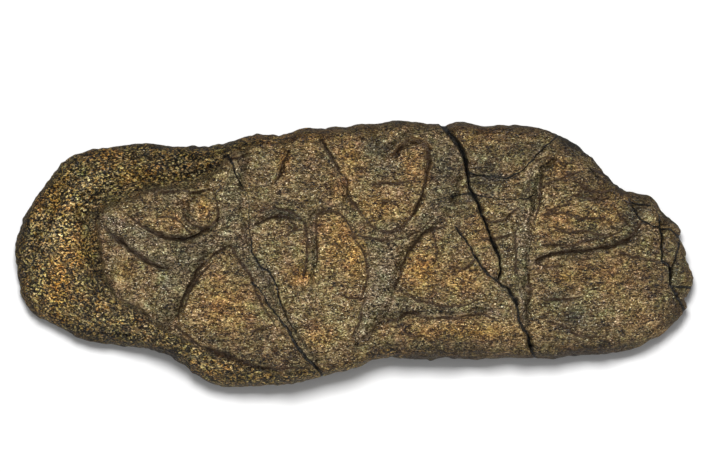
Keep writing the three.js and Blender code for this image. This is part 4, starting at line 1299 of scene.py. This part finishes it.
def cell_group() -> bpy.types.ShaderNodeTree:
    """Open bone cells: uneven knobs among dark pits, from the distance to scattered points and fine noise.

    Returns:
        The group, with inputs Place, Spacing and Unevenness.
    """
    outputs = {"Knobs": "NodeSocketFloat", "Pits": "NodeSocketFloat"}
    bench = socketed_group("bone cells", ("Place", "Spacing", "Unevenness"), outputs)
    given = bench.tree.nodes["Group Input"].outputs
    scale = bench.math("DIVIDE", 1.0, given["Spacing"])
    near = bench.cells(bench.stretch(given["Place"], (0.72, 1.0, 1.0)), scale).outputs["Distance"]
    uneven = bench.centred(bench.noise(given["Place"], Pattern(0.9, 3.0, 0.75)))
    distance = bench.math("MULTIPLY_ADD", uneven, given["Unevenness"], near)
    knobs, pits = bench.step(distance, Rise(0.5, 0.14)), bench.step(distance, Rise(0.44, 0.8))
    return hand_out(bench, {"Knobs": knobs, "Pits": pits})


def grain_group() -> bpy.types.ShaderNodeTree:
    """Mineral grains, longer along the bone: each grain has its own random lightness and hue.

    Returns:
        The group, with inputs Place and Size.
    """
    outputs = {"Light": "NodeSocketFloat", "Hue": "NodeSocketColor"}
    bench = socketed_group("mineral grains", ("Place", "Size"), outputs)
    given = bench.tree.nodes["Group Input"].outputs
    scale = bench.math("DIVIDE", 1.0, given["Size"])
    grains = bench.cells(bench.stretch(given["Place"], (0.6, 1.0, 1.0)), scale)
    red, green, blue = bench.add("ShaderNodeSeparateColor", None, i0=grains.outputs["Color"]).outputs
    turned = bench.add("ShaderNodeCombineColor", None, i0=green, i1=blue, i2=red)
    return hand_out(bench, {"Light": red, "Hue": turned.outputs[0]})


@dataclass
class BoneMaps:
    """What the parts of the bone's material share: places, distances, noises and the mottling group."""

    place: Socket
    warped: Socket
    away: dict[str, Socket]
    ragged: Socket
    grain: Socket
    wrinkles: Socket
    knobs: Socket
    pits: Socket
    is_worn: Socket
    mottle: bpy.types.ShaderNodeTree


@dataclass(frozen=True)
class BoneFinish:
    """Fossil bone: screen colours from dark to light for each kind of surface, its noises and its gloss.

    The heights are in millimetres of bump: for the outer bone those of grain, wrinkles and fibre, for the
    worn bone those of grain, knobs and pits, and for what is sunk those of creases, cracks and folds. The
    mottles weigh streaks, blotches and flecks. Crease and crack each have a rise across the line and one
    at its ends.
    """

    slot: str = "fossil_bone"
    plateau: Stops = (
        (0.12, (36, 17, 0)), (0.34, (74, 54, 20)), (0.5, (112, 92, 56)), (0.66, (143, 124, 88)),
        (0.88, (200, 185, 150)),
    )
    groove: Stops = (
        (0.12, (34, 20, 4)), (0.34, (69, 55, 30)), (0.5, (99, 85, 59)), (0.66, (129, 115, 89)),
        (0.88, (184, 172, 148)),
    )
    worn: Stops = (
        (0.14, (6, 3, 0)), (0.36, (24, 16, 2)), (0.5, (48, 36, 10)), (0.64, (84, 66, 30)),
        (0.84, (144, 120, 72)),
    )
    # Speck colours: pale bone on the knobs, brightened as painted highlight on their lit faces.
    knob_pale_and_lit: tuple[int, int, int] = (248, 228, 164)
    knob_gold_and_lit: tuple[int, int, int] = (214, 170, 88)
    # Painted shade in the pits of the open bone.
    pit_shade: tuple[int, int, int] = (12, 8, 2)
    gap: tuple[int, int, int] = (24, 9, 0)
    skirt: tuple[int, int, int] = (104, 82, 46)
    # Crease colour: partly dark fill in the creases, partly painted shade at the feet of the walls.
    crease: tuple[int, int, int] = (54, 32, 7)
    # Near black: painted shade deep in the open cracks.
    crack: tuple[int, int, int] = (8, 6, 4)
    # Pale colour of the painted highlights: small glints of light on the glossy bone.
    painted_glint: tuple[int, int, int] = (232, 222, 196)
    # Painted shade near the edge: the factors that darken the bone where its face rounds down to the rim.
    rim: Triple = (0.62, 0.56, 0.42)
    # Painted shade in the short wrinkles: the factors that darken the colour there.
    fold_shade: Triple = (0.42, 0.36, 0.26)
    balance: Triple = (1.34, 1.3, 1.06)
    lift: Triple = (1.0, 0.97, 0.88)
    outer_lift: float = 0.6
    worn_lift: float = 0.9
    floor_level: float = 0.01
    screen_gamma: float = 2.2
    grain_size: float = 0.33
    grain_stretch: Triple = (0.8, 1.0, 1.0)
    grain_hues: tuple[float, float] = (0.96, 1.04)
    patch_hues: tuple[float, float] = (0.66, 1.34)
    patch_noise: Pattern = Pattern(0.16, 3.0, 0.8)
    ragged_noise: Pattern = Pattern(0.7, 3.0, 0.6)
    grain_noise: Pattern = Pattern(1.25, 2.0, 0.6, 0.0, (0.75, 1.0, 1.0))
    wrinkle_noise: Pattern = Pattern(0.8, 3.0, 0.6, 1.2, (0.16, 0.6, 0.6))
    fibre_noise: Pattern = Pattern(1.0, 4.0, 0.65, 0.5, (0.3, 1.0, 1.0))
    gloss_noise: Pattern = Pattern(0.9, 3.0, 0.6)
    gap_noise: Pattern = Pattern(1.5, 2.0, 0.6, 0.0, (0.5, 1.0, 1.0))
    painted_glint_noise: Pattern = Pattern(1.7, 1.0, 0.7)
    speck_noise: Pattern = Pattern(1.3, 1.0, 0.6, 0.0, (0.7, 1.0, 1.0))
    speck_hue_noise: Pattern = Pattern(0.5, 3.0, 0.7)
    speck_light_noise: Pattern = Pattern(0.3, 4.0, 0.7)
    long_fold_noise: Pattern = Pattern(0.42, 2.0, 0.55, 0.9, (0.4, 1.0, 1.0))
    short_fold_noise: Pattern = Pattern(0.8, 2.0, 0.55, 0.9, (0.75, 1.0, 1.0))
    fold_break_noise: Pattern = Pattern(0.45, 2.0, 0.6)
    tint_break_noise: Pattern = Pattern(0.4, 4.0, 0.7)
    worn_rise: Rise = Rise(-0.4, 0.9)
    rim_shade_rise: Rise = Rise(5.5, 1.5, 0.0, 0.75)
    groove_rise: Rise = Rise(0.3, -0.9, 0.0, 0.95)
    gap_rise: Rise = Rise(0.54, 0.65, 0.0, 0.9)
    painted_glint_rise: Rise = Rise(0.63, 0.72, 0.0, 0.9)
    skirt_rise: Rise = Rise(3.8, 0.3, 0.0, 0.5)
    speck_rise: Rise = Rise(0.71, 0.8)
    speck_hue_rise: Rise = Rise(0.4, 0.6)
    speck_light_rise: Rise = Rise(0.32, 0.62, 0.2, 0.85)
    speck_ledge_rise: Rise = Rise(0.3, 4.0, 0.45, 1.0)
    long_fold_rise: Rise = Rise(0.05, 0.0075)
    short_fold_rise: Rise = Rise(0.055, 0.00825)
    fold_break_rise: Rise = Rise(0.42, 0.58, 0.1, 1.0)
    tint_break_rise: Rise = Rise(0.34, 0.6, 0.65, 1.0)
    gloss_rise: Rise = Rise(0.35, 0.65, 0.28, 0.6)
    crease_rises: tuple[Rise, Rise] = (Rise(1.7, 0.25, 0.0, 0.88), Rise(0.8, 0.4))
    crack_rises: tuple[Rise, Rise] = (Rise(1.2, 0.5, 0.0, 0.96), Rise(0.7, 0.3))
    ragged_ledge: float = 2.6
    ragged_rim: float = 5.0
    ragged_groove: float = 1.6
    ragged_line: float = 1.2
    outer_mottle: Triple = (0.3, 0.45, 0.4)
    worn_mottle: Triple = (0.6, 1.3, 0.8)
    grain_share: float = 0.4
    wrinkle_share: float = 0.9
    pit_shade_share: float = 0.6
    knob_share: float = 0.1
    cell_spacing: float = 1.75
    cell_unevenness: float = 0.9
    warp_scale: float = 0.7
    warp_reach: float = 1.6
    outer_heights: Triple = (1.1, 1.6, 0.7)
    worn_heights: Triple = (1.8, 0.5, -0.4)
    sunk_heights: Triple = (-0.35, -0.6, -0.3)

    def material(self) -> bpy.types.Material:
        """Builds the bone's material around its node groups.

        Returns:
            The material.
        """
        made = bpy.data.materials.new("fossil bone")
        made.use_nodes = True
        made.node_tree.nodes.clear()
        bench = NodeBench(made.node_tree)
        maps = self.maps(bench)
        in_crease, in_crack = self.line_masks(bench, maps)
        folds = self.fold_mask(bench, maps)
        colour = bench.blend(maps.is_worn, self.outer_colour(bench, maps), self.worn_colour(bench, maps))
        # Painted shade: the colour is darkened along the short wrinkles.
        colour = bench.tinted(folds, self.grained(bench, maps, colour), self.fold_shade)
        colour = self.stained_and_shaded(bench, maps, colour)
        # Painted shade: the bone is darkened over its last few millimetres inside the edge, and on the rim
        # round it.
        from_rim = bench.math("MULTIPLY_ADD", maps.ragged, self.ragged_rim, maps.away["edge"])
        colour = bench.tinted(bench.step(from_rim, self.rim_shade_rise), colour, self.rim)
        # Dark fill and painted shade: the creases are laid over in dark brown.
        colour = bench.blend(in_crease, colour, linear(self.crease))
        # Painted shade: the cracks are laid over in near black.
        colour = bench.blend(in_crack, colour, linear(self.crack))
        height = self.relief(bench, maps, (in_crease, in_crack, folds))
        bump = bench.add("ShaderNodeBump", None, Height=height, Distance=METRES_PER_MM, Strength=1.0)
        rough = bench.step(bench.noise(maps.place, self.gloss_noise), self.gloss_rise)
        inputs = {"Base_Color": colour, "Roughness": rough, "Normal": bump.outputs[0]}
        shader = bench.add("ShaderNodeBsdfPrincipled", None, **inputs)
        bench.add("ShaderNodeOutputMaterial", None, Surface=shader.outputs[0])
        return made

    def maps(self, bench: NodeBench) -> BoneMaps:
        """Adds the nodes whose values the other parts share.

        Args:
            bench: The material's nodes.

        Returns:
            Their outputs, and the mottling group.
        """
        source = bench.add("ShaderNodeTexCoord")
        place = bench.stretch(source.outputs["Object"], (1 / METRES_PER_MM,) * 3)
        away = {key: bench.attribute(key) for key in DISTANCES}
        warp = bench.group(warp_group(), Place=place, Scale=self.warp_scale, Reach=self.warp_reach)
        warped = warp.outputs[0]
        sizes = {"Spacing": self.cell_spacing, "Unevenness": self.cell_unevenness}
        cells = bench.group(cell_group(), Place=warped, **sizes)
        ragged = bench.centred(bench.noise(place, self.ragged_noise))
        is_worn = bench.step(bench.weighted(((ragged, self.ragged_ledge),), away["worn"]), self.worn_rise)
        grain = bench.noise(place, self.grain_noise)
        wrinkles = bench.noise(place, self.wrinkle_noise)
        knobs, pits = cells.outputs["Knobs"], cells.outputs["Pits"]
        return BoneMaps(place, warped, away, ragged, grain, wrinkles, knobs, pits, is_worn, mottle_group())

    def relief(self, bench: NodeBench, maps: BoneMaps, sunk: tuple[Socket, ...]) -> Value:
        """Height of the bump.

        Args:
            bench: The material's nodes.
            maps: The shared values.
            sunk: Masks of the creases, cracks and folds, which lie lower.

        Returns:
            The height in millimetres.
        """
        fibre = bench.noise(maps.place, self.fibre_noise)
        outer = bench.weighted(tuple(zip((maps.grain, maps.wrinkles, fibre), self.outer_heights)))
        worn = bench.weighted(tuple(zip((maps.grain, maps.knobs, maps.pits), self.worn_heights)))
        height = bench.between(maps.is_worn, outer, worn)
        return bench.weighted(tuple(zip(sunk, self.sunk_heights)), height)

    def outer_colour(self, bench: NodeBench, maps: BoneMaps) -> Socket:
        """Outer bone: golden plateaus and browner groove floors, with dark gaps and pale painted highlights,
        the glints.

        Args:
            bench: The material's nodes.
            maps: The shared values.

        Returns:
            The colour.
        """
        value = bench.mottled(maps.mottle, maps.place, self.outer_mottle)
        for layer, share in ((maps.grain, self.grain_share), (maps.wrinkles, self.wrinkle_share)):
            value = bench.weighted(((bench.centred(layer), share),), value)
        ragged_wall = bench.math("MULTIPLY_ADD", maps.ragged, self.ragged_groove, maps.away["groove"])
        in_groove = bench.step(ragged_wall, self.groove_rise)
        colour = bench.blend(in_groove, bench.ramp(value, self.plateau), bench.ramp(value, self.groove))
        gaps = bench.step(bench.noise(maps.place, self.gap_noise), self.gap_rise)
        colour = bench.blend(gaps, colour, linear(self.gap))
        # Painted highlight: pale flecks stand in for glints of light on the glossy surface.
        painted_glints = bench.step(bench.noise(maps.place, self.painted_glint_noise), self.painted_glint_rise)
        return bench.blend(painted_glints, colour, linear(self.painted_glint))

    def worn_colour(self, bench: NodeBench, maps: BoneMaps) -> Socket:
        """Worn bone: a dark, mottled ground with small cream and yellow specks, which are partly pale bone
        and partly painted highlight on the knobs' lit faces, and pits darkened with painted shade.

        Args:
            bench: The material's nodes.
            maps: The shared values.

        Returns:
            The colour.
        """
        worn = maps.away["worn"]
        ground = bench.ramp(bench.mottled(maps.mottle, maps.place, self.worn_mottle), self.worn)
        # Painted shade: the pits darken the ground.
        ground = bench.blend(bench.math("MULTIPLY", maps.pits, self.pit_shade_share), ground, linear(self.pit_shade))
        ground = bench.blend(bench.step(worn, self.skirt_rise), ground, linear(self.skirt))
        # The specks are partly pale bone and partly painted highlight on the knobs' lit faces.
        hue = bench.step(bench.noise(maps.place, self.speck_hue_noise), self.speck_hue_rise)
        speck = bench.blend(hue, linear(self.knob_gold_and_lit), linear(self.knob_pale_and_lit))
        bright = bench.step(bench.noise(maps.place, self.speck_light_noise), self.speck_light_rise)
        bright = bench.math("MULTIPLY", bright, bench.step(worn, self.speck_ledge_rise))
        fine = bench.noise(maps.place, self.speck_noise)
        raised = bench.weighted(((maps.grain, self.grain_share), (maps.knobs, self.knob_share)), fine)
        return bench.blend(bench.math("MULTIPLY", bench.step(raised, self.speck_rise), bright), ground, speck)

    def scaled(self, bench: NodeBench, colour: Value, source: Socket, span: tuple[float, float]) -> Socket:
        """A colour times a second one, whose channels of 0 to 1 stand for factors.

        Args:
            bench: The material's nodes.
            colour: The colour to change.
            source: The colour that changes it.
            span: The factors that 0 and 1 stand for.

        Returns:
            The changed colour.
        """
        factor = bench.add("ShaderNodeMapRange", {"data_type": "FLOAT_VECTOR", "clamp": False}, Vector=source)
        low, high = span
        bench.fill_by_identifier(factor, {
            "From_Min_FLOAT3": (0.0,) * 3, "From_Max_FLOAT3": (1.0,) * 3,
            "To_Min_FLOAT3": (low,) * 3, "To_Max_FLOAT3": (high,) * 3,
        })
        return bench.blend(1.0, colour, factor.outputs["Vector"], "MULTIPLY")

    def grained(self, bench: NodeBench, maps: BoneMaps, colour: Socket) -> Socket:
        """Lets lightness and hue change from grain to grain, and the hue waver over wider patches.

        The lightness is moved on the screen's scale, so that dark and pale bone is equally grainy.

        Args:
            bench: The material's nodes.
            maps: The shared values.
            colour: The colour without grain.

        Returns:
            The grained colour.
        """
        drawn_out = bench.stretch(maps.warped, self.grain_stretch)
        grains = bench.group(grain_group(), Place=drawn_out, Size=self.grain_size)
        wide = {"Scale": self.patch_noise.scale, "Detail": self.patch_noise.detail}
        wide["Roughness"] = self.patch_noise.roughness
        patches = bench.add("ShaderNodeTexNoise", None, Vector=maps.place, **wide)
        colour = self.scaled(bench, colour, patches.outputs["Color"], self.patch_hues)
        colour = self.scaled(bench, colour, grains.outputs["Hue"], self.grain_hues)
        colour = bench.tinted(1.0, colour, self.balance)
        reach = bench.between(maps.is_worn, self.outer_lift, self.worn_lift)
        lift = bench.math("MULTIPLY", bench.centred(grains.outputs["Light"]), reach)
        seen = bench.add("ShaderNodeGamma", None, Color=colour, Gamma=1 / self.screen_gamma).outputs[0]
        seen = bench.vector("ADD", seen, bench.vector("SCALE", self.lift, lift))
        seen = bench.vector("MAXIMUM", seen, (self.floor_level,) * 3)
        return bench.add("ShaderNodeGamma", None, Color=seen, Gamma=self.screen_gamma).outputs[0]

    def fold_mask(self, bench: NodeBench, maps: BoneMaps) -> Socket:
        """Short wavy wrinkles: thin lines where a drawn-out noise has its middle value, broken by another.
        The colour is darkened along them as painted shade.

        Args:
            bench: The material's nodes.
            maps: The shared values.

        Returns:
            1 in a wrinkle and 0 beside it.
        """
        lines = 0.0
        kinds = (self.long_fold_noise, self.long_fold_rise), (self.short_fold_noise, self.short_fold_rise)
        for pattern, rise in kinds:
            beside = bench.math("ABSOLUTE", bench.centred(bench.noise(maps.place, pattern)))
            lines = bench.math("MAXIMUM", lines, bench.step(beside, rise))
        broken = bench.step(bench.noise(maps.place, self.fold_break_noise), self.fold_break_rise)
        return bench.math("MULTIPLY", lines, broken)

    def stained_and_shaded(self, bench: NodeBench, maps: BoneMaps, colour: Socket) -> Socket:
        """Lays the stains and the painted shade and light over a colour, each broken up by noise; a patch
        multiplies, so the grain stays.

        Args:
            bench: The material's nodes.
            maps: The shared values.
            colour: The colour without stains.

        Returns:
            The stained colour.
        """
        uneven = bench.step(bench.noise(maps.place, self.tint_break_noise), self.tint_break_rise)
        for tint in Tint:
            share = bench.math("MULTIPLY", bench.attribute(tint.name), uneven)
            colour = bench.tinted(share, colour, tint.value)
        return colour

    def line_masks(self, bench: NodeBench, maps: BoneMaps) -> list[Socket]:
        """Where the creases and the cracks run: near the strip, and inside its width across its middle line.

        Args:
            bench: The material's nodes.
            maps: The shared values.

        Returns:
            The masks of the creases and of the cracks, which carry their dark colour and painted shade and
            their sunk bump.
        """
        masks = []
        for key, (width, reach) in (("crease", self.crease_rises), ("crack", self.crack_rises)):
            across = bench.math("ABSOLUTE", maps.away[key + "_across"])
            inside = bench.step(bench.math("MULTIPLY_ADD", maps.ragged, self.ragged_line, across), width)
            masks.append(bench.math("MULTIPLY", inside, bench.step(maps.away[key], reach)))
        return masks


@dataclass
class Studio:
    """The pale floor, the soft lights and the camera over the slab."""

    pixel: float = 0.38
    image_width: int = 708
    lens: float = 400.0
    sensor: float = 36.0
    aim: Triple = (0.2, 6.8, 14.0)
    floor_size: float = 24.0
    floor_shade: float = 0.86
    sky_strength: float = 0.2
    bone_lights: tuple[SoftLight, ...] = (
        SoftLight("key", -38, 36, 1.3, 0.2, 16.2),
        SoftLight("fill", 132, 60, 1.4, 0.7, 8.5),
    )
    floor_lights: tuple[SoftLight, ...] = (
        SoftLight("floor light", 95, 72, 1.6, 0.4, 26.0),
        SoftLight("floor halo", 90, 88, 1.6, 1.2, 4.0),
    )

    def camera(self) -> None:
        """Looks straight down, with the picture's width set by its millimetres per pixel."""
        data = bpy.data.cameras.new("camera")
        data.lens = self.lens
        data.sensor_width = self.sensor
        height = self.pixel * self.image_width * self.lens / self.sensor
        holder = bpy.data.objects.new("camera", data)
        holder.location = (Vector(self.aim) + Vector((0.0, 0.0, height))) * METRES_PER_MM
        bpy.context.scene.collection.objects.link(holder)
        bpy.context.scene.camera = holder

    def floor(self) -> bpy.types.Object:
        """A large pale sheet at the slab's resting height, that throws no light back onto the slab.

        Returns:
            The sheet.
        """
        half = self.floor_size / 2
        corners = [(-half, -half, 0), (half, -half, 0), (half, half, 0), (-half, half, 0)]
        mesh = bpy.data.meshes.new("floor")
        mesh.from_pydata(corners, [], [(0, 1, 2, 3)])
        made = bpy.data.materials.new("pale floor")
        made.use_nodes = True
        shader = made.node_tree.nodes["Principled BSDF"]
        shader.inputs["Base Color"].default_value = (*(self.floor_shade,) * 3, 1)
        shader.inputs["Roughness"].default_value = 1.0
        shader.inputs["Specular IOR Level"].default_value = 0.0
        mesh.materials.append(made)
        piece = bpy.data.objects.new("floor", mesh)
        piece.visible_diffuse = False
        piece.visible_glossy = False
        bpy.context.scene.collection.objects.link(piece)
        return piece

    def softbox(self, light: SoftLight, lit: bpy.types.Collection) -> None:
        """Places a light, aimed at the slab, that lights one collection.

        Args:
            light: The light.
            lit: What it lights.
        """
        data = bpy.data.lights.new(light.name, "AREA")
        data.size = light.size
        data.energy = light.power
        turn, rise = math.radians(light.azimuth), math.radians(light.elevation)
        back = Vector((math.cos(turn) * math.cos(rise), math.sin(turn) * math.cos(rise), math.sin(rise)))
        holder = bpy.data.objects.new(light.name, data)
        holder.location = back * light.distance
        holder.rotation_mode = "QUATERNION"
        holder.rotation_quaternion = back.to_track_quat("Z", "Y")
        holder.light_linking.receiver_collection = lit
        bpy.context.scene.collection.objects.link(holder)

    def build(self, bone: bpy.types.Object) -> None:
        """Sets the floor, the lights, the sky and the camera; each pair of lights has one thing to light.

        Args:
            bone: The slab.
        """
        floor = self.floor()
        for name, piece, lights in (("bone", bone, self.bone_lights), ("floor", floor, self.floor_lights)):
            lit = bpy.data.collections.new("lit " + name)
            lit.objects.link(piece)
            for light in lights:
                self.softbox(light, lit)
        sky = bpy.data.worlds.new("sky")
        sky.use_nodes = True
        backdrop = sky.node_tree.nodes["Background"]
        backdrop.inputs["Color"].default_value = (1, 1, 1, 1)
        backdrop.inputs["Strength"].default_value = self.sky_strength
        bpy.context.scene.world = sky
        bpy.context.scene.view_settings.view_transform = "Standard"
        self.camera()


def main() -> None:
    """Builds the slab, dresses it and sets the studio."""
    logging.basicConfig(level=logging.INFO, format="%(message)s")
    outline = SlabOutline()
    slab = FossilSlab(outline, FrillFace(outline))
    bone = slab.build()
    finish = BoneFinish()
    bone.data.materials.append(finish.material())
    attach(bone, "root")
    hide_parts("frill_section")
    log.info("%s: %d vertices, %d faces", bone.name, len(bone.data.vertices), len(bone.data.polygons))
    Studio().build(bone)


if __name__ == "__main__":
    main()
